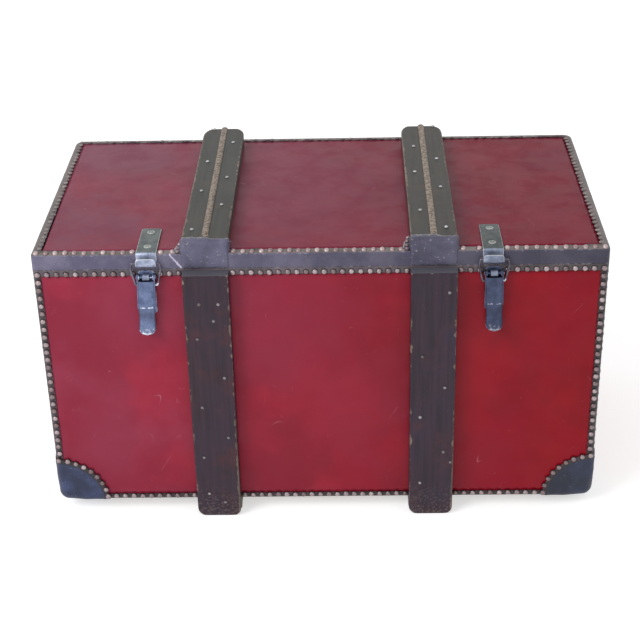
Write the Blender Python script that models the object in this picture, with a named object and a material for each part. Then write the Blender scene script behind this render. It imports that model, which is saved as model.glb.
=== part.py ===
"""Travel trunk of wood, red leatherette and dark leather, with wooden slats and two lever latches.

Metres, +Z up. The floor is z = 0, the trunk stands on its two runners and its front faces -Y.
The origin is on the floor, under the middle of the trunk.
"""

import math

import bmesh
import bpy
from mathutils import Matrix, Vector

MM = 0.001

# Driving sizes of the box
CASE_WIDTH = 840 * MM
CASE_DEPTH = 440 * MM
BODY_HEIGHT = 432 * MM
LID_LIP = 24 * MM
EDGE_RADIUS = 8 * MM
LID_EDGE_RADIUS = 4 * MM

# Clearances
GAP = 0.3 * MM
OVERRUN = 2 * MM

# Boards
BOARD = 10 * MM
LID_BOARD = 8 * MM
RAIL = 9 * MM
STRIP_THICKNESS = 3 * MM
STRIP_HEIGHT = 40 * MM
STRIP_RISE = 10 * MM

# Leather and leatherette
LEATHER = 1.7 * MM
COVER = 1.0 * MM
BINDING_WIDTH = 12 * MM
RIM_HEIGHT = 11 * MM
PATCH_RADIUS = 76 * MM
PATCH_THICKNESS = 1.5 * MM
PATCH_EDGE_RADIUS = 11 * MM

# Slats and runners
SLAT_WIDTH = 68 * MM
SLAT_TO_END = 254 * MM
SLAT_THICKNESS = 19 * MM
SLAT_CORNER = 13 * MM
SLAT_EDGE = 1.5 * MM
SLAT_TOP_DROP = 3 * MM
SLAT_FOOT = 0.5 * MM
RUNNER_THICKNESS = 21 * MM
LID_SLAT_THICKNESS = 16 * MM
LID_SLAT_CORNER = 17 * MM
LID_SLAT_TOP_ROUND = 1.5 * MM
BEAD_WIDTH = 9 * MM
BEAD_HEIGHT = 4 * MM
END_COVER_REACH = 21 * MM
END_COVER_DROP = 1 * MM

# Latches
HASP_TO_END = 169 * MM
LATCH_SHIFT = 1.7 * MM
STEEL = 2 * MM
HASP_WIDTH = 30 * MM
HASP_REACH = 82 * MM
HASP_BEND = 3 * MM
HASP_CORNER = 5 * MM
HOOK_WIDTH = 10 * MM
HOOK_DROP = 17 * MM
HOOK_LIP_DROP = 2 * MM
WIRE_RADIUS = 1.5 * MM
LATCH_STEEL = 1.6 * MM
PIVOT_DROP = 10 * MM
PIVOT_OUT = 7.5 * MM
CRANK_DOWN = 13 * MM
CRANK_BACK = 1.6 * MM
BAIL_RISE = 34.4 * MM
BAIL_BEND = 1.8 * MM
BAIL_PIVOT_HALF = 15 * MM
BAIL_WAIST_HALF = 20.2 * MM
BAIL_WAIST_RISE = 25 * MM
BAIL_TOP_HALF = 18.9 * MM
LEVER_WIDTH = 26.4 * MM
LEVER_LENGTH = 93 * MM
LEVER_WEB_TOP = 11 * MM
LEVER_WEB_OUT = 3.8 * MM
LEVER_CREASE = 48 * MM
LEVER_DIP = 78 * MM
LEVER_DIP_OUT = 0.4 * MM
LEVER_TIP_OUT = 5.5 * MM
LEVER_TIP_RADIUS = 11 * MM
LEVER_ARM_RADIUS = 5 * MM
LEVER_ARM_LOW = 50 * MM
RIVET_RADIUS = 1.8 * MM
RIVET_HEAD_RADIUS = 3 * MM
RIVET_HEAD = 1.2 * MM
BASE_WIDTH = 24 * MM
BASE_TOP = 8 * MM
BASE_LOW = 62 * MM
BASE_CORNER = 4 * MM
EAR_OUT_RADIUS = 4.5 * MM

# Hinges
HINGE_TO_END = 130 * MM
HINGE_WIDTH = 64 * MM
HINGE_MIDDLE = 24 * MM
HINGE_LEAF = 1.6 * MM
HINGE_BARREL_RADIUS = 4 * MM
HINGE_PIN_RADIUS = 1.5 * MM
HINGE_PIN_HEAD = 1.2 * MM
HINGE_PIN_HEAD_RADIUS = 3 * MM
HINGE_CASE_LENGTH = 40 * MM
HINGE_LID_LENGTH = 21 * MM
HINGE_CORNER = 4 * MM

# End handles
HANDLE_HEIGHT = 268 * MM
HANDLE_SPACING = 140 * MM
HANDLE_OUT = 12 * MM
HANDLE_DROP = 46 * MM
HANDLE_BEND = 10 * MM
HANDLE_END_RADIUS = 3 * MM
HANDLE_GRIP_RADIUS = 9 * MM
HANDLE_GRIP_LENGTH = 76 * MM
BRACKET_WIDTH = 30 * MM
BRACKET_HEIGHT = 44 * MM
BRACKET_THICKNESS = 2 * MM
BRACKET_CORNER = 6 * MM
EYE_THICKNESS = 8 * MM
EYE_WALL = 3.5 * MM

# Mesh detail
EDGE_STEPS = 4
CORNER_STEPS = 5
ROUND_SIDES = 16
WIRE_RESOLUTION = 2
HANDLE_RESOLUTION = 3
BALL_STEPS = 3
BALL_TURN = math.radians(20)

# Places worked out from the sizes
HALF_WIDTH = CASE_WIDTH / 2
HALF_DEPTH = CASE_DEPTH / 2
SLAT_OFFSET = HALF_WIDTH - SLAT_TO_END
HASP_OFFSET = HALF_WIDTH - HASP_TO_END
HINGE_OFFSET = HALF_WIDTH - HINGE_TO_END
FRONT = -HALF_DEPTH
BACK = HALF_DEPTH
BOTTOM = RUNNER_THICKNESS
TOP = BOTTOM + BODY_HEIGHT
JOINT = TOP - LID_LIP
RIM_TOP = JOINT - GAP / 2
LIP_LOW = JOINT + GAP / 2
BOARD_INSET = LEATHER + GAP
WALL_INSET = BOARD_INSET + BOARD
BOARD_RADIUS = EDGE_RADIUS - BOARD_INSET
WALL_LOW = BOTTOM + WALL_INSET + GAP
WALL_TOP = RIM_TOP - LEATHER - GAP
COVER_INSET = BINDING_WIDTH + GAP
END_FACE = HALF_WIDTH - LEATHER + COVER
HINGE_AXIS_Y = BACK + GAP + HINGE_BARREL_RADIUS
PIVOT_Y = FRONT - PIVOT_OUT
PIVOT_Z = JOINT - PIVOT_DROP
BAIL_Y = PIVOT_Y + CRANK_BACK
BAIL_Z = PIVOT_Z - CRANK_DOWN

# Colours, roughness and metal of each finish
RED_COVER = ((0.29, 0.02, 0.035), 0.35, 0.0)
DARK_LEATHER = ((0.09, 0.075, 0.1), 0.5, 0.0)
PATCH_LEATHER = ((0.04, 0.05, 0.075), 0.5, 0.0)
SLAT_WOOD = ((0.06, 0.05, 0.045), 0.6, 0.0)
BARE_WOOD = ((0.45, 0.3, 0.17), 0.7, 0.0)
LATCH_STEEL_LOOK = ((0.2, 0.23, 0.27), 0.4, 1.0)
HANDLE_LEATHER = ((0.12, 0.07, 0.05), 0.5, 0.0)


def clear_scene():
    for thing in list(bpy.data.objects):
        bpy.data.objects.remove(thing, do_unlink=True)


def finish(thing, look):
    colour, roughness, metal = look
    material = bpy.data.materials.new(thing.name)
    material.use_nodes = True
    shader = material.node_tree.nodes["Principled BSDF"]
    shader.inputs["Base Color"].default_value = (*colour, 1)
    shader.inputs["Roughness"].default_value = roughness
    shader.inputs["Metallic"].default_value = metal
    thing.data.materials.append(material)


def place(name, data, look, pivot):
    """Link an object whose shape is in world places, and hang it on the empty at its joint's axis."""
    thing = bpy.data.objects.new(name, data)
    bpy.context.collection.objects.link(thing)
    if look:
        finish(thing, look)
    if pivot:
        thing.parent = pivot
        thing.location = -origin(pivot)
    return thing


def make_pivot(name, where, parent=None):
    """An empty on a joint's axis, for what turns there."""
    pivot = bpy.data.objects.new(name, None)
    pivot.location = where
    bpy.context.collection.objects.link(pivot)
    if parent:
        pivot.parent = parent
        pivot.location = pivot.location - origin(parent)
    return pivot


def origin(pivot):
    """Where an empty stands, added up over the empties that carry it."""
    above = origin(pivot.parent) if pivot.parent else Vector((0, 0, 0))
    return above + pivot.location


def loft(name, rings, look=None, pivot=None, closed=False):
    """Join rings of points, each a list of as many places, into one closed body.

    An open run is capped at both ends. A closed one joins its last ring to its first.
    """
    bm = bmesh.new()
    rows = [[bm.verts.new(point) for point in ring] for ring in rings]
    count = len(rows[0])
    pairs = list(zip(rows, rows[1:] + rows[:1])) if closed else list(zip(rows, rows[1:]))
    for lower, upper in pairs:
        for i in range(count):
            j = (i + 1) % count
            bm.faces.new((lower[i], lower[j], upper[j], upper[i]))
    if not closed:
        bm.faces.new(rows[0])
        bm.faces.new(rows[-1])
    bmesh.ops.recalc_face_normals(bm, faces=bm.faces)
    mesh = bpy.data.meshes.new(name)
    bm.to_mesh(mesh)
    bm.free()
    return place(name, mesh, look, pivot)


def on_axis(axis, along, u, v):
    """A place from its distance along one axis and its two other coordinates, in X, Y, Z order."""
    return {"x": (along, u, v), "y": (u, along, v), "z": (u, v, along)}[axis]


def prism(name, outline, axis, start, end, look=None, pivot=None):
    """An outline in the two other axes, drawn out along one axis."""
    rings = [[on_axis(axis, along, u, v) for u, v in outline] for along in (start, end)]
    return loft(name, rings, look, pivot)


def arc(centre, radius, start, end, steps):
    """Points on an arc, with its angles in degrees."""
    turn = [math.radians(start + (end - start) * i / steps) for i in range(steps + 1)]
    return [(centre[0] + radius * math.cos(a), centre[1] + radius * math.sin(a)) for a in turn]


def circle(centre, radius):
    return arc(centre, radius, 0, 360, ROUND_SIDES)[:-1]


def rounded_rectangle(u0, u1, v0, v1, radii, steps=EDGE_STEPS):
    """Outline of a rectangle. The four radii start at the corner u0, v0 and go round by u1, v0."""
    corners = ((u0, v0, 1, 1, 180), (u1, v0, -1, 1, 270), (u1, v1, -1, -1, 0), (u0, v1, 1, -1, 90))
    points = []
    for (u, v, su, sv, start), radius in zip(corners, radii):
        if radius:
            points += arc((u + su * radius, v + sv * radius), radius, start, start + 90, steps)
        else:
            points.append((u, v))
    return points


def plan_outline(inset, radius=EDGE_RADIUS):
    """The trunk's plan, drawn in by an inset. Its corners keep a common centre while they can."""
    corner = max(radius - inset, GAP)
    return rounded_rectangle(
        -HALF_WIDTH + inset, HALF_WIDTH - inset, FRONT + inset, BACK - inset, [corner] * 4, CORNER_STEPS
    )


def plan_body(name, section, look, closed, pivot=None):
    """A body that goes round the trunk's plan: a ring if its section is closed, else a slab.

    The section is a list of insets from the outer plane, each with its height.
    """
    rings = [[(x, y, z) for x, y in plan_outline(inset)] for inset, z in section]
    return loft(name, rings, look, pivot, closed)


def guide(thing):
    thing.hide_render = True
    thing.display_type = "WIRE"
    return thing


def combine(thing, other, operation):
    """Join, cut or trim a piece with a guide body."""
    change = thing.modifiers.new(operation.lower(), "BOOLEAN")
    change.operation = operation
    change.solver = "EXACT"
    change.object = guide(other)
    return thing


def rod(name, axis, centre, radius, start, end, look=None, pivot=None):
    return prism(name, circle(centre, radius), axis, start, end, look, pivot)


def turned_rod(name, centre, stations, look, pivot=None):
    """A round body along X, from its stations of place and radius."""
    rings = [[(x, y, z) for y, z in circle(centre, radius)] for x, radius in stations]
    return loft(name, rings, look, pivot)


def make_boards():
    """The wooden box: a bottom with rounded edges, four walls that stand on it."""
    round_edge = [(BOARD_INSET + BOARD_RADIUS - u, BOTTOM + BOARD_INSET + BOARD_RADIUS - v)
                  for u, v in arc((0, 0), BOARD_RADIUS, 90, 0, EDGE_STEPS)]
    section = round_edge + [(BOARD_INSET, WALL_LOW - GAP)]
    plan_body("bottom_board", section, BARE_WOOD, closed=False)
    outer_x = HALF_WIDTH - BOARD_INSET
    outer_y = HALF_DEPTH - BOARD_INSET
    for name, side, radii in (
        ("front_board", -1, (BOARD_RADIUS, BOARD_RADIUS, 0, 0)),
        ("back_board", 1, (0, 0, BOARD_RADIUS, BOARD_RADIUS)),
    ):
        y0, y1 = sorted((side * outer_y, side * (outer_y - BOARD)))
        outline = rounded_rectangle(-outer_x, outer_x, y0, y1, radii)
        prism(name, outline, "z", WALL_LOW, WALL_TOP, BARE_WOOD)
    inner_y = outer_y - BOARD - GAP
    for name, side in (("left_end_board", -1), ("right_end_board", 1)):
        x0, x1 = sorted((side * outer_x, side * (outer_x - BOARD)))
        outline = rounded_rectangle(x0, x1, -inner_y, inner_y, [0] * 4)
        prism(name, outline, "z", WALL_LOW, WALL_TOP, BARE_WOOD)


def make_dust_strips():
    """Strips inside the walls that stand up into the lid and close the joint."""
    low = JOINT + STRIP_RISE - STRIP_HEIGHT
    high = JOINT + STRIP_RISE
    outer_x = HALF_WIDTH - WALL_INSET - GAP
    outer_y = HALF_DEPTH - WALL_INSET - GAP
    for name, side in (("dust_strip_front", -1), ("dust_strip_back", 1)):
        y0, y1 = sorted((side * outer_y, side * (outer_y - STRIP_THICKNESS)))
        prism(name, rounded_rectangle(-outer_x, outer_x, y0, y1, [0] * 4), "z", low, high, BARE_WOOD)
    inner_y = outer_y - STRIP_THICKNESS - GAP
    for name, side in (("dust_strip_left", -1), ("dust_strip_right", 1)):
        x0, x1 = sorted((side * outer_x, side * (outer_x - STRIP_THICKNESS)))
        prism(name, rounded_rectangle(x0, x1, -inner_y, inner_y, [0] * 4), "z", low, high, BARE_WOOD)


def make_covers():
    """Leatherette between the bindings of the four walls."""
    low = BOTTOM + COVER_INSET
    high = RIM_TOP - RIM_HEIGHT - GAP
    half_x = HALF_WIDTH - COVER_INSET
    half_y = HALF_DEPTH - COVER_INSET
    for name, side in (("front_cover", -1), ("back_cover", 1)):
        y0, y1 = sorted((side * (HALF_DEPTH - LEATHER), side * (HALF_DEPTH - LEATHER + COVER)))
        prism(name, rounded_rectangle(-half_x, half_x, low, high, [0] * 4), "y", y0, y1, RED_COVER)
    for name, side in (("left_cover", -1), ("right_cover", 1)):
        x0, x1 = sorted((side * (HALF_WIDTH - LEATHER), side * (HALF_WIDTH - LEATHER + COVER)))
        prism(name, rounded_rectangle(-half_y, half_y, low, high, [0] * 4), "x", x0, x1, RED_COVER)


def make_bindings():
    """Leather over the edges: an angle on each upright edge, and rings round the bottom and the rim."""
    radius = EDGE_RADIUS
    inner = EDGE_RADIUS - LEATHER
    outline = arc((radius, radius), radius, 270, 180, EDGE_STEPS) + [(0, BINDING_WIDTH)]
    outline += [(LEATHER, BINDING_WIDTH)]
    outline += arc((radius, radius), inner, 180, 270, EDGE_STEPS)
    outline += [(BINDING_WIDTH, LEATHER), (BINDING_WIDTH, 0)]
    low = BOTTOM + COVER_INSET
    high = RIM_TOP - RIM_HEIGHT - GAP
    for name, sx, sy in corners("corner_binding"):
        placed = [(sx * (HALF_WIDTH - u), sy * (HALF_DEPTH - v)) for u, v in outline]
        prism(name, placed, "z", low, high, DARK_LEATHER)
    centre = (radius, BOTTOM + radius)
    section = [(0, BOTTOM + BINDING_WIDTH)]
    section += arc(centre, radius, 180, 270, EDGE_STEPS)
    section += [(BINDING_WIDTH, BOTTOM), (BINDING_WIDTH, BOTTOM + LEATHER)]
    section += arc(centre, inner, 270, 180, EDGE_STEPS)
    section += [(LEATHER, BOTTOM + BINDING_WIDTH)]
    plan_body("bottom_binding", section, DARK_LEATHER, closed=True)
    rim_low = RIM_TOP - RIM_HEIGHT
    section = [(0, rim_low), (0, RIM_TOP), (WALL_INSET, RIM_TOP), (WALL_INSET, RIM_TOP - LEATHER)]
    section += [(LEATHER, RIM_TOP - LEATHER), (LEATHER, rim_low)]
    plan_body("rim_binding", section, DARK_LEATHER, closed=True)


def corners(stem):
    for front, sy in (("front", -1), ("back", 1)):
        for side, sx in (("left", -1), ("right", 1)):
            yield f"{stem}_{front}_{side}", sx, sy


def rounded_block(name, corner, signs, length, radius):
    """A block from an outer corner inwards, with all its edges rounded."""
    far = [c - s * length for c, s in zip(corner, signs)]
    low = [min(a, b) for a, b in zip(corner, far)]
    high = [max(a, b) for a, b in zip(corner, far)]
    block = prism(name, rounded_rectangle(low[0], high[0], low[1], high[1], [0] * 4), "z", low[2], high[2])
    bevel = block.modifiers.new("rounding", "BEVEL")
    bevel.width = radius
    bevel.segments = EDGE_STEPS
    bevel.limit_method = "NONE"
    return block


def make_patches():
    """Leather caps over the bottom corners, cut to a quarter circle on each face.

    A cap is drawn about its own corner, then set down at the trunk's corner. The ball that trims it
    is turned, so that none of its seams lies along a seam of the cap.
    """
    turned = Matrix.Rotation(BALL_TURN, 4, "Z") @ Matrix.Rotation(BALL_TURN, 4, "X")
    for name, sx, sy in corners("corner_patch"):
        signs = (sx, sy, -1)
        seat = tuple(s * GAP for s in signs)
        outer = tuple(s * (GAP + PATCH_THICKNESS) for s in signs)
        length = PATCH_RADIUS + PATCH_EDGE_RADIUS + OVERRUN
        patch = rounded_block(name, outer, signs, length, PATCH_EDGE_RADIUS)
        finish(patch, PATCH_LEATHER)
        inner = rounded_block(name + "_inside", seat, signs, length + PATCH_EDGE_RADIUS, EDGE_RADIUS)
        combine(patch, inner, "DIFFERENCE")
        bm = bmesh.new()
        bmesh.ops.create_icosphere(bm, subdivisions=BALL_STEPS, radius=PATCH_RADIUS, matrix=turned)
        ball = bpy.data.meshes.new(name + "_reach")
        bm.to_mesh(ball)
        bm.free()
        reach = place(name + "_reach", ball, None, None)
        combine(patch, reach, "INTERSECT")
        for thing in (patch, inner, reach):
            thing.location = (sx * HALF_WIDTH, sy * HALF_DEPTH, BOTTOM)


def slat_section(half, thickness, grow=0.0):
    """Section of a lid slat on the lid's top, with its bead. It can be drawn larger all round."""
    base = TOP + GAP
    top = base + thickness + grow
    side = half + grow
    bead = arc((0, 0), 1, 0, 180, EDGE_STEPS + 2)
    bead = [((BEAD_WIDTH / 2 + grow) * u, top + BEAD_HEIGHT * v) for u, v in bead]
    points = [(-side, base), (side, base), (side, top - SLAT_EDGE), (side - SLAT_EDGE, top)]
    return points + bead + [(SLAT_EDGE - side, top), (-side, top - SLAT_EDGE)]


def make_slats(lid):
    """Slats on front and back, runners below, and beaded slats on the lid."""
    half = SLAT_WIDTH / 2
    for side, sx in (("left", -1), ("right", 1)):
        middle = sx * SLAT_OFFSET
        high = JOINT - SLAT_TOP_DROP
        for face, sy in (("front", -1), ("back", 1)):
            outline = rounded_rectangle(
                middle - half, middle + half, SLAT_FOOT, high, (SLAT_CORNER, SLAT_CORNER, 0, 0)
            )
            seat = HALF_DEPTH + GAP
            rings = []
            for out, drawn in ((0, 0), (SLAT_THICKNESS - SLAT_EDGE, 0), (SLAT_THICKNESS, SLAT_EDGE)):
                rings.append([
                    (middle + (x - middle) * (half - drawn) / half, sy * (seat + out), shrink(z, drawn, high))
                    for x, z in outline
                ])
            loft(f"{face}_slat_{side}", rings, SLAT_WOOD)
        outline = rounded_rectangle(middle - half, middle + half, FRONT, BACK, [0] * 4)
        prism(f"runner_{side}", outline, "z", 0, RUNNER_THICKNESS - GAP, SLAT_WOOD)
        make_lid_slat(side, middle, lid)
        make_end_cover(side, middle, lid)


def shrink(z, drawn, high):
    """Height of a slat's point when its face is drawn in at both ends."""
    middle = (high + SLAT_FOOT) / 2
    reach = middle - SLAT_FOOT
    return middle + (z - middle) * (reach - drawn) / reach


def make_lid_slat(side, middle, lid):
    rings = []
    stations = [(FRONT, 0), (BACK - LID_SLAT_CORNER, 0)]
    for i in range(1, CORNER_STEPS):
        angle = math.radians(90 * i / CORNER_STEPS)
        stations.append((BACK - LID_SLAT_CORNER * (1 - math.sin(angle)), 1 - math.cos(angle)))
    stations.append((BACK, 1))
    for y, share in stations:
        half = SLAT_WIDTH / 2 - LID_SLAT_CORNER * share
        thickness = LID_SLAT_THICKNESS - LID_SLAT_TOP_ROUND * share
        rings.append([(middle + x, y, z) for x, z in slat_section(half, thickness)])
    loft(f"lid_slat_{side}", rings, SLAT_WOOD, lid)


def make_end_cover(side, middle, lid):
    """Leather folded over the front end of a lid slat and down the lid's lip."""
    half = SLAT_WIDTH / 2
    name = f"slat_end_cover_{side}"
    outside = [(middle + x, z) for x, z in slat_section(half, LID_SLAT_THICKNESS, GAP + LEATHER)]
    inside = [(middle + x, z) for x, z in slat_section(half, LID_SLAT_THICKNESS, GAP)]
    inside[0] = (inside[0][0], inside[0][1] - OVERRUN)
    inside[1] = (inside[1][0], inside[1][1] - OVERRUN)
    front = FRONT - GAP - LEATHER
    cover = prism(name, outside, "y", front, FRONT + END_COVER_REACH, DARK_LEATHER, lid)
    wide = half + GAP + LEATHER
    apron = rounded_rectangle(
        middle - wide, middle + wide, LIP_LOW + END_COVER_DROP, TOP + LID_SLAT_THICKNESS / 2, [0] * 4
    )
    combine(cover, prism(name + "_apron", apron, "y", front, FRONT - GAP, pivot=lid), "UNION")
    hollow = prism(name + "_inside", inside, "y", FRONT - GAP, FRONT + END_COVER_REACH + OVERRUN, pivot=lid)
    combine(cover, hollow, "DIFFERENCE")


def make_lid(lid):
    """The lid's board and shallow frame, its leatherette and its leather lip."""
    inset = BOARD_INSET
    board_top = TOP - inset
    board_low = board_top - LID_BOARD
    edge = LID_EDGE_RADIUS - inset
    section = [(inset, board_low), (inset, board_top - edge)]
    section += [(inset + edge - u, board_top - edge + v) for u, v in arc((0, 0), edge, 0, 90, EDGE_STEPS)][1:]
    plan_body("lid_board", section, BARE_WOOD, closed=False, pivot=lid)
    rail_top = board_low - GAP
    outer_x = HALF_WIDTH - inset
    outer_y = HALF_DEPTH - inset
    for name, side, radii in (
        ("lid_rail_front", -1, (BOARD_RADIUS, BOARD_RADIUS, 0, 0)),
        ("lid_rail_back", 1, (0, 0, BOARD_RADIUS, BOARD_RADIUS)),
    ):
        y0, y1 = sorted((side * outer_y, side * (outer_y - RAIL)))
        outline = rounded_rectangle(-outer_x, outer_x, y0, y1, radii)
        prism(name, outline, "z", LIP_LOW, rail_top, BARE_WOOD, lid)
    inner_y = outer_y - RAIL - GAP
    for name, side in (("lid_rail_left", -1), ("lid_rail_right", 1)):
        x0, x1 = sorted((side * outer_x, side * (outer_x - RAIL)))
        outline = rounded_rectangle(x0, x1, -inner_y, inner_y, [0] * 4)
        prism(name, outline, "z", LIP_LOW, rail_top, BARE_WOOD, lid)
    half_x = HALF_WIDTH - COVER_INSET
    half_y = HALF_DEPTH - COVER_INSET
    outline = rounded_rectangle(-half_x, half_x, -half_y, half_y, [0] * 4)
    prism("lid_cover", outline, "z", TOP - LEATHER, TOP - LEATHER + COVER, RED_COVER, lid)
    centre = (LID_EDGE_RADIUS, TOP - LID_EDGE_RADIUS)
    section = [(0, LIP_LOW)] + arc(centre, LID_EDGE_RADIUS, 180, 90, EDGE_STEPS)
    section += [(BINDING_WIDTH, TOP), (BINDING_WIDTH, TOP - LEATHER)]
    section += arc(centre, LID_EDGE_RADIUS - LEATHER, 90, 180, EDGE_STEPS) + [(LEATHER, LIP_LOW)]
    plan_body("lid_binding", section, DARK_LEATHER, closed=True, pivot=lid)


def strip(name, path, thickness, half, look, pivot, ends):
    """A bent steel strip across X, from the middle line of its side view, with rounded ends."""
    lengths = [0]
    for a, b in zip(path, path[1:]):
        lengths.append(lengths[-1] + math.dist(a, b))
    stations = list(zip(lengths, path))
    for end, radius in zip((0, lengths[-1]), ends):
        sign = 1 if end == 0 else -1
        for i in range(1, EDGE_STEPS):
            reach = end + sign * radius * (1 - math.cos(math.radians(90 * i / EDGE_STEPS)))
            stations.append((reach, along(lengths, path, reach)))
    stations.sort()
    rings = []
    for reach, (y, z) in stations:
        ahead = along(lengths, path, reach + thickness / 4)
        behind = along(lengths, path, reach - thickness / 4)
        span = math.dist(ahead, behind)
        ny, nz = (ahead[1] - behind[1]) / span, (behind[0] - ahead[0]) / span
        wide = half
        for end, radius in zip((0, lengths[-1]), ends):
            left = min(abs(reach - end), radius)
            wide = min(wide, half - radius + math.sqrt(radius ** 2 - (radius - left) ** 2))
        ny, nz = ny * thickness / 2, nz * thickness / 2
        below, above = (y - ny, z - nz), (y + ny, z + nz)
        rings.append([(-wide, *below), (wide, *below), (wide, *above), (-wide, *above)])
    return loft(name, rings, look, pivot)


def along(lengths, path, reach):
    """The place on a path at a distance from its start. Past an end it goes straight on."""
    i = 0
    while i < len(lengths) - 2 and reach > lengths[i + 1]:
        i += 1
    share = (reach - lengths[i]) / (lengths[i + 1] - lengths[i])
    (y0, z0), (y1, z1) = path[i], path[i + 1]
    return y0 + (y1 - y0) * share, z0 + (z1 - z0) * share


def move_x(thing, distance):
    for vertex in thing.data.vertices:
        vertex.co.x += distance
    return thing


def make_hasp(side, middle, lid):
    """A steel strap, screwed to the lid's top and bent down its front into a hook."""
    mid = GAP + STEEL / 2
    bend = HASP_BEND
    trough = (HOOK_WIDTH + STEEL) / 2
    hook_y = FRONT - mid - trough
    hook_z = TOP - HOOK_DROP + STEEL / 2 + trough
    path = [(FRONT + HASP_REACH, TOP + mid)]
    path += arc((FRONT - mid + bend, TOP + mid - bend), bend, 90, 180, EDGE_STEPS)
    path += arc((hook_y, hook_z), trough, 0, -180, CORNER_STEPS * 2)
    path += [(hook_y - trough, TOP - HOOK_LIP_DROP)]
    ends = (HASP_CORNER, HASP_CORNER)
    plate = strip(f"hasp_plate_{side}", path, STEEL, HASP_WIDTH / 2, LATCH_STEEL_LOOK, lid, ends)
    return move_x(plate, middle)


def make_latch_base(side, middle):
    """Plate on the case with two ears, and the rivet on which the lever turns."""
    name = f"latch_base_{side}"
    half = BASE_WIDTH / 2
    face = FRONT - GAP
    outline = rounded_rectangle(
        middle - half, middle + half, PIVOT_Z - BASE_LOW, PIVOT_Z + BASE_TOP, [BASE_CORNER] * 4
    )
    base = prism(name, outline, "y", face - LATCH_STEEL, face, LATCH_STEEL_LOOK)
    ear_outer = LEVER_WIDTH / 2 - LATCH_STEEL - GAP
    back = face - LATCH_STEEL / 2
    ear = [(back, PIVOT_Z - EAR_OUT_RADIUS), (back, PIVOT_Z + EAR_OUT_RADIUS)]
    ear += arc((PIVOT_Y, PIVOT_Z), EAR_OUT_RADIUS, 90, 270, EDGE_STEPS * 2)
    for part, sx in (("left", -1), ("right", 1)):
        x0, x1 = sorted((middle + sx * ear_outer, middle + sx * (ear_outer - LATCH_STEEL)))
        combine(base, prism(f"{name}_ear_{part}", ear, "x", x0, x1), "UNION")
    reach = LEVER_WIDTH / 2 + GAP
    stations = [(-reach - RIVET_HEAD, RIVET_HEAD_RADIUS), (-reach, RIVET_HEAD_RADIUS), (-reach, RIVET_RADIUS)]
    stations += [(reach, RIVET_RADIUS), (reach, RIVET_HEAD_RADIUS), (reach + RIVET_HEAD, RIVET_HEAD_RADIUS)]
    stations = [(middle + x, radius) for x, radius in stations]
    combine(base, turned_rod(name + "_rivet", (PIVOT_Y, PIVOT_Z), stations, None), "UNION")


def make_lever(side, middle, pivot):
    """Pressed lever: a bent plate with two arms that hold the rivet and the bail's ends."""
    name = f"latch_lever_{side}"
    web = PIVOT_Y - LEVER_WEB_OUT
    path = [
        (web, PIVOT_Z - LEVER_WEB_TOP),
        (web, PIVOT_Z - LEVER_CREASE),
        (PIVOT_Y - LEVER_DIP_OUT, PIVOT_Z - LEVER_DIP),
        (PIVOT_Y - LEVER_TIP_OUT, PIVOT_Z - LEVER_LENGTH),
    ]
    ends = (LATCH_STEEL, LEVER_TIP_RADIUS)
    lever = strip(name, path, LATCH_STEEL, LEVER_WIDTH / 2, LATCH_STEEL_LOOK, pivot, ends)
    move_x(lever, middle)
    radius = LEVER_ARM_RADIUS
    arm = arc((PIVOT_Y, PIVOT_Z), radius, 180, 0, EDGE_STEPS * 2)
    arm += [(PIVOT_Y + radius, BAIL_Z - radius), (web, PIVOT_Z - LEVER_ARM_LOW)]
    arm += [(web, PIVOT_Z - LEVER_WEB_TOP)]
    outer = LEVER_WIDTH / 2
    for part, sx in (("left", -1), ("right", 1)):
        x0, x1 = sorted((middle + sx * outer, middle + sx * (outer - LATCH_STEEL)))
        combine(lever, prism(f"{name}_arm_{part}", arm, "x", x0, x1, pivot=pivot), "UNION")
    for part, centre, size in (
        ("rivet_hole", (PIVOT_Y, PIVOT_Z), RIVET_RADIUS),
        ("bail_hole", (BAIL_Y, BAIL_Z), WIRE_RADIUS),
    ):
        start, end = middle - outer - OVERRUN, middle + outer + OVERRUN
        hole = rod(f"{name}_{part}", "x", centre, size + GAP, start, end, pivot=pivot)
        combine(lever, hole, "DIFFERENCE")


def wire(name, points, radius, look, pivot, radii=None, resolution=WIRE_RESOLUTION):
    """A round bar along a path of points, with flat ends."""
    data = bpy.data.curves.new(name, "CURVE")
    data.dimensions = "3D"
    data.bevel_depth = radius
    data.bevel_resolution = resolution
    data.use_fill_caps = True
    spline = data.splines.new("POLY")
    spline.points.add(len(points) - 1)
    for i, (point, place_on_path) in enumerate(zip(spline.points, points)):
        point.co = (*place_on_path, 1)
        point.radius = radii[i] if radii else 1
    return place(name, data, look, pivot)


def rounded_path(points, radius, steps):
    """A path with each inner corner rounded."""
    path = [Vector(points[0])]
    for before, corner, after in zip(points, points[1:], points[2:]):
        corner = Vector(corner)
        back = (Vector(before) - corner).normalized()
        ahead = (Vector(after) - corner).normalized()
        half = back.angle(ahead) / 2
        run = radius / math.tan(half)
        centre = corner + (back + ahead).normalized() * radius / math.sin(half)
        start = (corner + back * run - centre).normalized()
        end = (corner + ahead * run - centre).normalized()
        path += [centre + start.slerp(end, i / steps) * radius for i in range(steps + 1)]
    path.append(Vector(points[-1]))
    return [tuple(point) for point in path]


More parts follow.
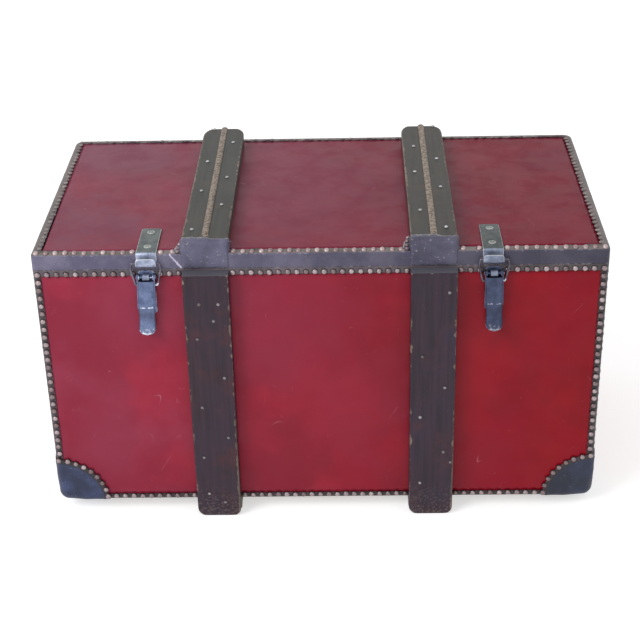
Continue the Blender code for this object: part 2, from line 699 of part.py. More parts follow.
def make_bail(side, middle, pivot):
    """Wire loop: its ends turn in the lever's arms, its bar lies in the hasp plate's hook."""
    inner = LEVER_WIDTH / 2 - LATCH_STEEL
    half_path = [
        (inner, BAIL_Z), (BAIL_PIVOT_HALF, BAIL_Z), (BAIL_WAIST_HALF, BAIL_Z + BAIL_WAIST_RISE),
        (BAIL_TOP_HALF, BAIL_Z + BAIL_RISE),
    ]
    right = [(middle + x, BAIL_Y, z) for x, z in half_path]
    left = [(middle - x, BAIL_Y, z) for x, z in half_path]
    path = rounded_path(left + right[::-1], BAIL_BEND, EDGE_STEPS)
    wire(f"latch_bail_{side}", path, WIRE_RADIUS, LATCH_STEEL_LOOK, pivot)


def make_hinge(side, middle, lid):
    """Butt hinge on the back: three knuckles on a pin, two leaves screwed to case and lid."""
    name = f"hinge_case_leaf_{side}"
    seat = BACK + GAP
    half = HINGE_WIDTH / 2
    clear = HINGE_BARREL_RADIUS + 2 * GAP
    centre = (HINGE_AXIS_Y, JOINT)
    round_bar = arc(centre, HINGE_BARREL_RADIUS, -180, 180, ROUND_SIDES)[:-1]
    hole_reach = (middle - half - OVERRUN, middle + half + OVERRUN)
    tail = seat + HINGE_LEAF

    outline = rounded_rectangle(
        middle - half, middle + half, JOINT - HINGE_CASE_LENGTH, JOINT - clear,
        (HINGE_CORNER, HINGE_CORNER, 0, 0),
    )
    leaf = prism(name, outline, "y", seat, tail, LATCH_STEEL_LOOK)
    knuckle = [(seat, JOINT - clear - OVERRUN), (tail, JOINT - clear - OVERRUN), (tail, JOINT), (seat, JOINT)]
    for part, x0, x1 in (
        ("outer_left", middle - half, middle - HINGE_MIDDLE / 2 - GAP),
        ("outer_right", middle + HINGE_MIDDLE / 2 + GAP, middle + half),
    ):
        combine(leaf, prism(f"{name}_{part}_web", knuckle, "x", x0, x1), "UNION")
        combine(leaf, prism(f"{name}_{part}", round_bar, "x", x0, x1), "UNION")
    combine(leaf, rod(name + "_hole", "x", centre, HINGE_PIN_RADIUS + GAP, *hole_reach), "DIFFERENCE")

    name = f"hinge_lid_leaf_{side}"
    outline = rounded_rectangle(
        middle - half, middle + half, JOINT + clear, JOINT + HINGE_LID_LENGTH,
        (0, 0, HINGE_CORNER, HINGE_CORNER),
    )
    leaf = prism(name, outline, "y", seat, tail, LATCH_STEEL_LOOK, lid)
    knuckle = [(seat, JOINT + clear + OVERRUN), (tail, JOINT + clear + OVERRUN), (tail, JOINT), (seat, JOINT)]
    x0, x1 = middle - HINGE_MIDDLE / 2, middle + HINGE_MIDDLE / 2
    combine(leaf, prism(f"{name}_web", knuckle, "x", x0, x1, pivot=lid), "UNION")
    combine(leaf, prism(f"{name}_knuckle", round_bar, "x", x0, x1, pivot=lid), "UNION")
    hole = rod(name + "_hole", "x", centre, HINGE_PIN_RADIUS + GAP, *hole_reach, pivot=lid)
    combine(leaf, hole, "DIFFERENCE")

    reach = half + GAP
    stations = [(-reach - HINGE_PIN_HEAD, HINGE_PIN_HEAD_RADIUS), (-reach, HINGE_PIN_HEAD_RADIUS)]
    stations += [(-reach, HINGE_PIN_RADIUS), (reach, HINGE_PIN_RADIUS)]
    stations += [(reach, HINGE_PIN_HEAD_RADIUS), (reach + HINGE_PIN_HEAD, HINGE_PIN_HEAD_RADIUS)]
    stations = [(middle + x, radius) for x, radius in stations]
    turned_rod(f"hinge_pin_{side}", centre, stations, LATCH_STEEL_LOOK)


def make_end_handle(side, sx):
    """Leather handle that hangs in two eyes on the end of the trunk."""
    axis_x = sx * (HALF_WIDTH + HANDLE_OUT)
    pivot = make_pivot(f"end_handle_{side}_axis", (axis_x, 0, HANDLE_HEIGHT))
    half = HANDLE_SPACING / 2
    eye = EYE_THICKNESS / 2
    plate = sx * (END_FACE + GAP), sx * (END_FACE + GAP + BRACKET_THICKNESS)
    eye_radius = HANDLE_END_RADIUS + GAP + EYE_WALL
    for face, sy in (("front", -1), ("back", 1)):
        name = f"handle_bracket_{side}_{face}"
        middle = sy * half
        outline = rounded_rectangle(
            middle - BRACKET_WIDTH / 2, middle + BRACKET_WIDTH / 2,
            HANDLE_HEIGHT - BRACKET_HEIGHT / 2, HANDLE_HEIGHT + BRACKET_HEIGHT / 2, [BRACKET_CORNER] * 4,
        )
        bracket = prism(name, outline, "x", min(plate), max(plate), LATCH_STEEL_LOOK)
        root = sx * (END_FACE + GAP + BRACKET_THICKNESS / 2)
        round_eye = arc((axis_x, HANDLE_HEIGHT), eye_radius, 90 - 180 * sx, 90, EDGE_STEPS * 2)
        loop = round_eye + [(root, HANDLE_HEIGHT + eye_radius), (root, HANDLE_HEIGHT - eye_radius)]
        combine(bracket, prism(name + "_eye", loop, "y", middle - eye, middle + eye), "UNION")
        hole = rod(name + "_hole", "y", (axis_x, HANDLE_HEIGHT), HANDLE_END_RADIUS + GAP,
                   middle - eye - OVERRUN, middle + eye + OVERRUN)
        combine(bracket, hole, "DIFFERENCE")
    low = HANDLE_HEIGHT - HANDLE_DROP
    tip = half + eye + HANDLE_END_RADIUS
    elbow = half - eye - HANDLE_BEND
    grip = HANDLE_GRIP_LENGTH / 2
    corner = [(axis_x, -tip, HANDLE_HEIGHT), (axis_x, -elbow, HANDLE_HEIGHT), (axis_x, -grip, low)]
    path = rounded_path(corner + [(x, -y, z) for x, y, z in corner[::-1]], HANDLE_BEND, EDGE_STEPS)
    thick = HANDLE_GRIP_RADIUS / HANDLE_END_RADIUS
    drops = [min(1, max(0, (HANDLE_HEIGHT - z) / HANDLE_DROP)) for _, _, z in path]
    radii = [1 + (thick - 1) * math.sqrt(drop) for drop in drops]
    wire(f"end_handle_{side}", path, HANDLE_END_RADIUS, HANDLE_LEATHER, pivot, radii, HANDLE_RESOLUTION)


def main():
    clear_scene()
    make_boards()
    make_dust_strips()
    make_covers()
    make_bindings()
    make_patches()
    lid = make_pivot("lid_axis", (0, HINGE_AXIS_Y, JOINT))
    make_lid(lid)
    make_slats(lid)
    for side, sx in (("left", -1), ("right", 1)):
        middle = sx * (HASP_OFFSET + LATCH_SHIFT)
        lever_axis = make_pivot(f"latch_lever_{side}_axis", (middle, PIVOT_Y, PIVOT_Z))
        bail_axis = make_pivot(f"latch_bail_{side}_axis", (middle, BAIL_Y, BAIL_Z), lever_axis)
        make_hasp(side, sx * HASP_OFFSET, lid)
        make_latch_base(side, middle)
        make_lever(side, middle, lever_axis)
        make_bail(side, middle, bail_axis)
        make_hinge(side, sx * HINGE_OFFSET, lid)
        make_end_handle(side, sx)


main()
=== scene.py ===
# %% [markdown]
# A travel trunk, dressed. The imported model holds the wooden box, slats, latches and hinges at their real
# places and sizes. This notebook gives each surface its finish and makes what is too fine for the solids:
# the wavy edges of the leather, the dome nails and the screws. Paint could imitate those, but only real
# shape catches the light from every side.

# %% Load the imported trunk
import math

import bmesh
import bpy
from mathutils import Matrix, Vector, noise


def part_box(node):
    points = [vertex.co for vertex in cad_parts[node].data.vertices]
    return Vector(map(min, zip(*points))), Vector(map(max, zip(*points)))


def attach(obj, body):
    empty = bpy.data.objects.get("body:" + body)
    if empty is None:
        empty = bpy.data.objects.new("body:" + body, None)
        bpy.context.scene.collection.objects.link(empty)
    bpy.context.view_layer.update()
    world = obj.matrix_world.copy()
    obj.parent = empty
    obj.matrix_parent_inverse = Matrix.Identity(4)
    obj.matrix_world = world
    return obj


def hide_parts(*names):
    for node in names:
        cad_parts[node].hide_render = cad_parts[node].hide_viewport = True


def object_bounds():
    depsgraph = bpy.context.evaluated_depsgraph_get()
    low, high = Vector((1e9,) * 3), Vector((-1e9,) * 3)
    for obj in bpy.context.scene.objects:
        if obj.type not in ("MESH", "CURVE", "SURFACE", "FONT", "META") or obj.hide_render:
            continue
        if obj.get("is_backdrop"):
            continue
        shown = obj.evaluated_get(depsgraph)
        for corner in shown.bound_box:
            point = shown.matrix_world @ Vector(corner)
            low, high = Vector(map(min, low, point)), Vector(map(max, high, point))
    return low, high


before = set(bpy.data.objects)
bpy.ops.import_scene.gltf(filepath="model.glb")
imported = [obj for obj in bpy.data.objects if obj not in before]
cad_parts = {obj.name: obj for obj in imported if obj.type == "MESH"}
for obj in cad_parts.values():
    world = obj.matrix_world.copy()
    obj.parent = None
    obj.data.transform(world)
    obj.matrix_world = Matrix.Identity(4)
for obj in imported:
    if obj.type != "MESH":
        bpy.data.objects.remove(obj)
cad_low, cad_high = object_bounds()
MM = 0.001
box_low, box_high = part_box("rim_binding")
HALF_WIDTH = box_high.x
HALF_DEPTH = box_high.y
FRONT_Y = box_low.y
print("box in plan, mm:", round(2 * HALF_WIDTH / MM), round(2 * HALF_DEPTH / MM))

# %% [markdown]
# The camera stands where the photographer stood: in front of the trunk, a little above it, looking down.
# It could be moved by eye until the picture fits. Here the lens and the place were worked out from the
# corners of the lid and the case, because lines that are square on the real box give both at once.

# %% Camera
LENS = 83.96
CAMERA_PLACE = (0.0471, -2.1554, 1.4056)
CAMERA_TURN = (61.178, 1.189, 0.775)

camera = bpy.data.objects.new("camera", bpy.data.cameras.new("camera"))
camera.data.lens = LENS
camera.location = CAMERA_PLACE
camera.rotation_euler = [math.radians(angle) for angle in CAMERA_TURN]
bpy.context.collection.objects.link(camera)
scene = bpy.context.scene
scene.camera = camera
scene.view_settings.view_transform = "Standard"
print("camera lens in mm:", LENS)

# %% [markdown]
# A node tree can be built link by link, but the script then reads like wiring. This small class adds a
# node, wires its inputs and hands back its output, so that a material below reads like a recipe. The
# trees of the nails use it too, because shader and geometry nodes share their math.


# %% Short calls for node trees
class Recipe:
    """A node tree, with calls that add one node each and return its output socket."""

    def __init__(self, tree):
        self.tree = tree

    def add(self, kind, inputs=None, **settings):
        made = self.tree.nodes.new(kind)
        for name, value in settings.items():
            setattr(made, name, value)
        for name, value in (inputs or {}).items():
            self.feed(made.inputs[name], value)
        return made

    def get(self, kind, inputs=None, **settings):
        return self.add(kind, inputs, **settings).outputs[0]

    def feed(self, socket, value):
        """Link a socket to an input, or set the input to a plain value."""
        if isinstance(value, bpy.types.NodeSocket):
            self.tree.links.new(value, socket)
        else:
            socket.default_value = value

    def math(self, operation, a, b=0.0, clamp=False):
        return self.get("ShaderNodeMath", {0: a, 1: b}, operation=operation, use_clamp=clamp)

    def times(self, a, b):
        return self.math("MULTIPLY", a, b)

    def vector(self, operation, a, b=(0, 0, 0)):
        return self.get("ShaderNodeVectorMath", {0: a, 1: b}, operation=operation)

    def scale(self, vector, factor):
        inputs = {"Vector": vector, "Scale": factor}
        return self.get("ShaderNodeVectorMath", inputs, operation="SCALE")

    def axis(self, place, letter):
        return self.add("ShaderNodeSeparateXYZ", {"Vector": place}).outputs[letter]

    def mix(self, factor, a, b, blend="MIX"):
        made = self.add("ShaderNodeMix", data_type="RGBA", blend_type=blend, clamp_factor=True)
        for index, value in ((0, factor), (6, a), (7, b)):
            self.feed(made.inputs[index], value)
        return made.outputs[2]

    def remap(self, value, low, high, to_low=0.0, to_high=1.0):
        inputs = {"Value": value, "From Min": low, "From Max": high, "To Min": to_low, "To Max": to_high}
        return self.get("ShaderNodeMapRange", inputs, interpolation_type="SMOOTHSTEP")

    def noise(self, place, size, detail=2.0, roughness=0.5):
        scale = self.math("DIVIDE", 1.0, size)
        inputs = {"Vector": place, "Scale": scale, "Detail": detail, "Roughness": roughness}
        return self.get("ShaderNodeTexNoise", inputs)

    def bump(self, height, distance, strength=1.0, normal=None):
        inputs = {"Height": height, "Distance": distance, "Strength": strength}
        if normal:
            inputs["Normal"] = normal
        return self.get("ShaderNodeBump", inputs)

    def group(self, name, **inputs):
        made = self.add("ShaderNodeGroup", node_tree=bpy.data.node_groups[name])
        for key, value in inputs.items():
            self.feed(made.inputs[key.replace("_", " ").title()], value)
        return made.outputs

    def attribute(self, name):
        return self.add("ShaderNodeAttribute", attribute_name=name).outputs["Fac"]


print("recipe calls:", [name for name in dir(Recipe) if not name.startswith("_")])

# %% [markdown]
# Effects that several finishes share, such as blotches or worn edges, are shader groups. A group is made
# once, with named inputs, and each material places it with its own values. Colours are given as a screen
# shows them, from 0 to 255, because that is how a painter reads them off, and are made linear here.

# %% Start a group, mix a paint
SOCKETS = {"float": "NodeSocketFloat", "vector": "NodeSocketVector"}


def start_group(name, inputs, outputs):
    """A new shader group with named sockets: its recipe, its input sockets and its output node."""
    tree = bpy.data.node_groups.new(name, "ShaderNodeTree")
    for label, kind in inputs:
        tree.interface.new_socket(label, in_out="INPUT", socket_type=SOCKETS[kind])
    for label, kind in outputs:
        tree.interface.new_socket(label, in_out="OUTPUT", socket_type=SOCKETS[kind])
    return Recipe(tree), tree.nodes.new("NodeGroupInput").outputs, tree.nodes.new("NodeGroupOutput").inputs


def paint(red, green, blue):
    """A colour as a screen shows it, from 0 to 255, as the linear values that a shader takes."""
    shares = [value / 255 for value in (red, green, blue)]
    return (*[s / 12.92 if s <= 0.04045 else ((s + 0.055) / 1.055) ** 2.4 for s in shares], 1)


print("a mid grey in linear values:", [round(value, 3) for value in paint(128, 128, 128)])

# %% [markdown]
# Old surfaces are never one colour. Blotches are soft clouds from a noise texture, cut to a chosen
# contrast. Every finish of the trunk uses them, for faded cloth, tarnish and dirt, so they are a group.

# %% Group: blotches
recipe, given, out = start_group(
    "blotches",
    [("Place", "vector"), ("Size", "float"), ("Low", "float"), ("High", "float")],
    [("Mask", "float")],
)
clouds = recipe.noise(given["Place"], given["Size"], detail=4.0, roughness=0.6)
recipe.tree.links.new(recipe.remap(clouds, given["Low"], given["High"]), out["Mask"])
print("group:", recipe.tree.name)

# %% [markdown]
# Scratches follow the lines where a noise, drawn out in one direction, crosses its middle value. That
# gives long thin curves that wander a little. A wave texture would give lines too, but evenly spaced
# ones. A second noise breaks them up, because no real scratch runs from edge to edge.

# %% Group: scratches
recipe, given, out = start_group(
    "scratches",
    [("Place", "vector"), ("Turn", "vector"), ("Length", "float"), ("Spacing", "float"),
     ("Width", "float"), ("Amount", "float")],
    [("Mask", "float")],
)
turned = recipe.get(
    "ShaderNodeVectorRotate", {"Vector": given["Place"], "Rotation": given["Turn"]},
    rotation_type="EULER_XYZ",
)
lengthwise = recipe.math("DIVIDE", 1.0, given["Length"])
crosswise = recipe.math("DIVIDE", 1.0, given["Spacing"])
drawn = recipe.get("ShaderNodeCombineXYZ", {"X": lengthwise, "Y": crosswise, "Z": crosswise})
stretched = recipe.vector("MULTIPLY", turned, drawn)
field = recipe.get("ShaderNodeTexNoise", {"Vector": stretched, "Scale": 1.0, "Detail": 1.0})
off_line = recipe.math("ABSOLUTE", recipe.math("SUBTRACT", field, 0.5))
line = recipe.remap(off_line, 0.0, given["Width"], 1.0, 0.0)
patchy = recipe.noise(given["Place"], given["Spacing"], detail=2.0)
broken = recipe.remap(patchy, recipe.math("SUBTRACT", 0.72, given["Amount"]), 0.74, 0.0, 1.0)
recipe.tree.links.new(recipe.times(line, broken), out["Mask"])
print("group:", recipe.tree.name)

# %% [markdown]
# Leather has a grain of small pebbles with creases between them. A Voronoi texture gives the pebbles,
# and a noise under it makes them uneven. The group hands out a height for a Bump node and the creases
# as a mask, because dirt settles there.

# %% Group: leather grain
recipe, given, out = start_group(
    "leather grain", [("Place", "vector"), ("Size", "float")], [("Height", "float"), ("Crease", "float")]
)
bend = recipe.add("ShaderNodeTexNoise", {"Vector": given["Place"], "Scale": 160.0}).outputs[1]
bent = recipe.vector("ADD", given["Place"], recipe.scale(bend, 0.002))
pebble = recipe.add(
    "ShaderNodeTexVoronoi",
    {"Vector": bent, "Scale": recipe.math("DIVIDE", 1.0, given["Size"]), "Smoothness": 0.4},
    feature="SMOOTH_F1",
).outputs["Distance"]
height = recipe.math("SUBTRACT", 1.0, pebble)
recipe.tree.links.new(height, out["Height"])
recipe.tree.links.new(recipe.remap(pebble, 0.55, 0.9), out["Crease"])
print("group:", recipe.tree.name)

# %% [markdown]
# Wear starts where a piece is touched and knocked: on its edges. Each mesh below carries an attribute,
# wear, that is high on its edges. The group breaks its border up with noise, so that the bare patches
# are ragged.

# %% Group: edge wear
recipe, given, out = start_group(
    "edge wear",
    [("Wear", "float"), ("Place", "vector"), ("Size", "float"), ("Amount", "float")],
    [("Mask", "float")],
)
ragged = recipe.noise(given["Place"], given["Size"], detail=5.0, roughness=0.7)
ragged = recipe.times(recipe.math("SUBTRACT", ragged, 0.5), 1.6)
level = recipe.math("ADD", given["Wear"], ragged)
limit = recipe.math("SUBTRACT", 1.0, given["Amount"])
recipe.tree.links.new(
    recipe.remap(level, limit, recipe.math("ADD", limit, 0.25)), out["Mask"]
)
print("group:", recipe.tree.name)

# %% [markdown]
# Wood grain is a noise drawn out along the board. The same streaks tint the wood and, as a height,
# let the light catch the open pores.

# %% Group: wood grain
recipe, given, out = start_group(
    "wood grain", [("Place", "vector"), ("Stretch", "vector")], [("Tone", "float"), ("Height", "float")]
)
stretched = recipe.vector("MULTIPLY", given["Place"], given["Stretch"])
broad = recipe.get("ShaderNodeTexNoise", {"Vector": stretched, "Scale": 1.0, "Detail": 5.0})
fine = recipe.get("ShaderNodeTexNoise", {"Vector": stretched, "Scale": 5.0, "Detail": 3.0})
recipe.tree.links.new(recipe.remap(broad, 0.3, 0.7), out["Tone"])
recipe.tree.links.new(recipe.math("ADD", recipe.times(broad, 0.5), fine), out["Height"])
print("group:", recipe.tree.name)

# %% [markdown]
# Some marks sit at a known place: a faded patch, one deep scratch on the lip. A painted picture could
# hold them, but a formula stays sharp at any distance. A soft patch is an ellipsoid with a ragged border.
# A scratch is the distance to a short line, shaken a little by noise.

# %% Group: soft patch
recipe, given, out = start_group(
    "soft patch", [("Place", "vector"), ("Centre", "vector"), ("Reach", "vector")], [("Mask", "float")]
)
apart = recipe.vector("DIVIDE", recipe.vector("SUBTRACT", given["Place"], given["Centre"]), given["Reach"])
far = recipe.add("ShaderNodeVectorMath", {0: apart}, operation="LENGTH").outputs["Value"]
ragged = recipe.noise(given["Place"], 0.05, detail=3.0)
recipe.tree.links.new(recipe.remap(recipe.math("ADD", far, ragged), 1.7, 0.9), out["Mask"])
print("group:", recipe.tree.name)

# %% Group: scratch mark
recipe, given, out = start_group(
    "scratch mark",
    [("Place", "vector"), ("Start", "vector"), ("End", "vector"), ("Width", "float")],
    [("Mask", "float")],
)
SHAKE = 0.004
shaken = recipe.add("ShaderNodeTexNoise", {"Vector": given["Place"], "Scale": 180.0}).outputs[1]
shaken = recipe.vector("ADD", given["Place"], recipe.scale(shaken, SHAKE))
begin = recipe.vector("ADD", given["Start"], (SHAKE / 2, SHAKE / 2, SHAKE / 2))
from_start = recipe.vector("SUBTRACT", shaken, begin)
run = recipe.vector("SUBTRACT", given["End"], given["Start"])
along = recipe.add(
    "ShaderNodeVectorMath", {0: from_start, 1: run}, operation="DOT_PRODUCT"
).outputs["Value"]
square = recipe.add("ShaderNodeVectorMath", {0: run, 1: run}, operation="DOT_PRODUCT").outputs["Value"]
share = recipe.math("DIVIDE", along, square, clamp=True)
off = recipe.vector("SUBTRACT", from_start, recipe.scale(run, share))
far = recipe.add("ShaderNodeVectorMath", {0: off}, operation="LENGTH").outputs["Value"]
recipe.tree.links.new(recipe.remap(far, given["Width"], 0.0), out["Mask"])
print("groups:", [group.name for group in bpy.data.node_groups])

# %% [markdown]
# Every material starts alike: a Principled BSDF whose inputs are fed from patterns in the object's own
# coordinates. Those are metres in the trunk's frame, so a size in a material is a real size. Most colours
# are also tinted from left to right as painted light: brighter and bluer at the left end, as if lit from the
# left with a bluish sheen, and darker at the right.


# %% Start a material
def start_material(name, roughness, metallic=0.0, specular=0.5):
    """A material with a Principled BSDF: itself, its recipe, its shader and the place on the object."""
    material = bpy.data.materials.new(name)
    material.use_nodes = True
    recipe = Recipe(material.node_tree)
    shader = material.node_tree.nodes["Principled BSDF"]
    shader.inputs["Roughness"].default_value = roughness
    shader.inputs["Metallic"].default_value = metallic
    shader.inputs["Specular IOR Level"].default_value = specular
    place = recipe.add("ShaderNodeTexCoord").outputs["Object"]
    return material, recipe, shader, place


def wire_up(recipe, shader, **sockets):
    """Link sockets to the shader's inputs, whose names are given in small letters."""
    for name, socket in sockets.items():
        recipe.tree.links.new(socket, shader.inputs[name.replace("_", " ").title()])


def paint_light_from_left(recipe, place, colour, left, right):
    """Painted light from the left: brighten and tint a colour at the trunk's left end and darken it at the
    right.
    """
    share = recipe.remap(recipe.axis(place, "X"), HALF_WIDTH, -HALF_WIDTH)
    return recipe.mix(1.0, colour, recipe.mix(share, (*right, 1), (*left, 1)), "MULTIPLY")


def scratched(recipe, place, **sizes):
    """The mask of the scratches, with the group's sizes."""
    return recipe.group("scratches", place=place, **sizes)["Mask"]


def blotched(recipe, place, size, low, high):
    """The mask of the blotches. Between the noise's values low and high it goes from 0 to 1."""
    return recipe.group("blotches", place=place, size=size, low=low, high=high)["Mask"]


def rubbed_off(recipe, place, attribute, size, amount):
    """The ragged mask of the wear that a mesh carries in an attribute."""
    wear = recipe.attribute(attribute)
    return recipe.group("edge wear", wear=wear, place=place, size=size, amount=amount)["Mask"]


print("materials so far:", len(bpy.data.materials))

# %% [markdown]
# The walls are covered in red leatherette: cloth with a smooth coat of varnish, mottled, scratched and
# faded to pink and purple in places. The largest faded patches are set one by one, because they are what
# one knows the trunk by. Noise gives the rest, and a faint bump the cloth, under a slow swell of the
# board.


# %% Red leatherette
def make_leatherette(name, deep, bright, faded_and_sheen, veil, patches, specular, ends):
    """veil is how strongly the faded colour, which also gives the painted sheen by the bindings, covers the
    red. ends holds the tints of the two ends, painted light from the left.
    """
    material, recipe, shader, place = start_material(name, 0.34, specular=specular)
    mottle = blotched(recipe, place, 0.04, 0.3, 0.75)
    colour = recipe.mix(blotched(recipe, place, 0.13, 0.38, 0.64), deep, bright)
    colour = recipe.mix(recipe.times(mottle, 0.3), colour, deep)
    fading_and_sheen = blotched(recipe, place, 0.2, 0.48, 0.68)
    # Paler by the bindings: partly faded cloth, partly a painted sheen.
    beside_leather = rubbed_off(recipe, place, "wear", 0.09, 0.5)
    fading_and_sheen = recipe.math("MAXIMUM", fading_and_sheen, recipe.times(beside_leather, 0.3))
    for centre, reach, strength in patches:
        patch = recipe.group("soft patch", place=place, centre=centre, reach=reach)["Mask"]
        fading_and_sheen = recipe.math("MAXIMUM", fading_and_sheen, recipe.times(patch, strength))
    colour = recipe.mix(recipe.times(fading_and_sheen, veil), colour, faded_and_sheen)
    # Painted light and sheen: paler and bluer at the left end, deeper red at the right.
    colour = paint_light_from_left(recipe, place, colour, *ends)
    lines = recipe.math(
        "MAXIMUM",
        scratched(recipe, place, turn=(0.3, 0.9, 0.4), length=0.35, spacing=0.05, width=0.004, amount=0.12),
        scratched(recipe, place, turn=(0.2, 2.3, 1.2), length=0.08, spacing=0.018, width=0.01, amount=0.06),
    )
    lines = recipe.math("MAXIMUM", lines, blotched(recipe, place, 0.006, 0.735, 0.75))
    colour = recipe.mix(recipe.times(lines, 0.45), colour, paint(205, 130, 140))
    normal = recipe.bump(recipe.noise(place, 0.05, detail=2.0), 0.0012, 0.5)
    normal = recipe.bump(recipe.noise(place, 0.0012, detail=2.0), 0.00012, 0.5, normal)
    normal = recipe.bump(lines, 0.0001, 0.6, normal)
    roughness = recipe.remap(mottle, 0.0, 1.0, 0.28, 0.44)
    wire_up(recipe, shader, base_color=colour, roughness=roughness, normal=normal)
    return material


# Each faded patch: its centre, its reach along each axis and how strong it is
WALL_PATCHES = (
    ((0.045, FRONT_Y, 0.19), (0.07, 0.2, 0.11), 0.75),
    ((-0.33, FRONT_Y, 0.13), (0.06, 0.2, 0.07), 0.7),
    ((-0.26, FRONT_Y, 0.36), (0.08, 0.2, 0.08), 0.8),
    ((0.37, FRONT_Y, 0.36), (0.06, 0.2, 0.1), 0.7),
    ((-0.04, FRONT_Y, 0.33), (0.13, 0.2, 0.13), 0.8),
)
LID_PATCHES = (((-0.33, 0.15, 0.45), (0.13, 0.1, 0.2), 0.9), ((-0.02, 0.02, 0.45), (0.2, 0.25, 0.2), 0.6))
# The ends of both cloths are painted light and sheen from the left: paler and bluer at the left end, deeper
# red at the right.
wall_leatherette = make_leatherette(
    "wall_leatherette", deep=paint(136, 14, 32), bright=paint(157, 18, 36), faded_and_sheen=paint(148, 27, 48),
    veil=0.6, patches=WALL_PATCHES, specular=0.22, ends=((1.19, 4.1, 3.3), (0.97, 0.1, 0.55)),
)
lid_leatherette = make_leatherette(
    "lid_leatherette", deep=paint(114, 18, 40), bright=paint(126, 22, 46), faded_and_sheen=paint(106, 28, 56),
    veil=0.6, patches=LID_PATCHES, specular=0.12, ends=((1.31, 5.0, 2.7), (1.0, 0.4, 0.8)),
)
print("finish:", wall_leatherette.name, lid_leatherette.name)

# %% [markdown]
# The bindings are strips of dark leather folded over every edge. Handling has rubbed them to a blue grey,
# lighter on their edges; the corner caps are darker. One recipe makes all of them, because it is one hide
# with more or less wear. Where nails sit in a strip, a band of other tones can be asked for.

# %% Dark leather
# Painted light from the left: the tints of a leather's left and right ends.
LEATHER_SIDE_LIGHT = ((1.25, 1.25, 1.32), (0.75, 0.75, 0.72))


def make_dark_leather(
    name, dark, light, rubbed, edge_amount, grain=0.0022, band=(), scratch=None, ends=LEATHER_SIDE_LIGHT,
    speckled=0.7,
):
    """band holds the two tones of the nail band, which the attribute mark shows. A lower value of
    speckled gives more light specks."""
    material, recipe, shader, place = start_material(name, 0.5, specular=0.4)
    blotch = blotched(recipe, place, 0.05, 0.35, 0.68)
    pebbles = recipe.group("leather grain", place=place, size=grain)
    # Painted light: brighter at the left end, darker at the right.
    colour = paint_light_from_left(recipe, place, recipe.mix(blotch, dark, light), *ends)
    if band:
        colour = recipe.mix(recipe.attribute("mark"), colour, recipe.mix(blotch, *band))
    colour = recipe.mix(recipe.times(pebbles["Crease"], 0.22), colour, paint(28, 25, 30))
    scuffs = scratched(
        recipe, place, turn=(0.5, 0.2, 0.9), length=0.03, spacing=0.008, width=0.03, amount=0.1
    )
    specks = blotched(recipe, place, 0.004, speckled, speckled + 0.04)
    colour = recipe.mix(recipe.times(scuffs, 0.5), colour, rubbed)
    colour = recipe.mix(recipe.times(specks, 0.6), colour, paint(178, 174, 188))
    worn = rubbed_off(recipe, place, "wear", 0.006, edge_amount)
    colour = recipe.mix(recipe.times(worn, 0.7), colour, rubbed)
    if scratch:
        start, end = scratch
        cut = recipe.group("scratch mark", place=place, start=start, end=end, width=0.0022)["Mask"]
        colour = recipe.mix(cut, colour, paint(225, 215, 240))
    normal = recipe.bump(pebbles["Height"], 0.0003, 0.4)
    normal = recipe.bump(recipe.noise(place, 0.012, detail=3.0), 0.0008, 0.6, normal)
    roughness = recipe.remap(blotch, 0.0, 1.0, 0.42, 0.62)
    wire_up(recipe, shader, base_color=colour, roughness=roughness, normal=normal)
    return material


print("material recipe: make_dark_leather")

# %% [markdown]
# The lid's lip is the most handled strip, so it is the lightest, and carries one long cut at the left slat.
# Its left end is lighter still, as painted light from the left. The strips that nobody touches, up the
# corners, have kept their dark brown.

# %% Leather of each strip
NAIL_BAND = (paint(44, 38, 42), paint(70, 62, 64))
LID_BAND = (paint(100, 93, 91), paint(132, 123, 121))
LIP_SCRATCH = ((-0.2165, FRONT_Y, 0.4515), (-0.2015, FRONT_Y, 0.4305))
# The ends given to the lip, the wraps and the caps are painted light from the left too; the lip's is the
# strongest.
lip_leather = make_dark_leather(
    "lip_leather", paint(72, 69, 90), paint(98, 94, 112), rubbed=paint(150, 145, 165), edge_amount=0.32,
    band=LID_BAND, scratch=LIP_SCRATCH, ends=((1.78, 1.78, 1.8), (0.64, 0.64, 0.66)),
)
rim_leather = make_dark_leather(
    "rim_leather", paint(78, 70, 76), paint(112, 102, 108), rubbed=paint(160, 148, 152), edge_amount=0.36
)
corner_leather = make_dark_leather(
    "corner_leather", *NAIL_BAND, rubbed=paint(128, 118, 122), edge_amount=0.32
)
wrap_leather = make_dark_leather(
    "wrap_leather", paint(72, 70, 89), paint(103, 101, 121), rubbed=paint(176, 167, 162), edge_amount=0.46,
    ends=((1.25, 1.25, 1.32), (0.9, 0.9, 0.92)), speckled=0.64,
)
cap_leather = make_dark_leather(
    "cap_leather", paint(32, 39, 58), paint(64, 73, 98), rubbed=paint(118, 114, 114), edge_amount=0.4,
    grain=0.0018, band=NAIL_BAND, ends=((1.25, 1.3, 1.6), (0.75, 0.75, 0.8)), speckled=0.67,
)
grip_leather = make_dark_leather(
    "grip_leather", paint(50, 33, 26), paint(80, 54, 40), rubbed=paint(136, 106, 86), edge_amount=0.3,
    grain=0.0014,
)
print("finishes of leather:", [m.name for m in bpy.data.materials if m.name.endswith("_leather")])

# %% [markdown]
# The slats are stained almost black. The stain has gone from their edges and from the bead along the
# lid's slats, where bare tan wood shows. A shader could look for sharp edges itself, but it would miss
# the knocked flat places. So the meshes carry wear and mark, and the recipe reads them.


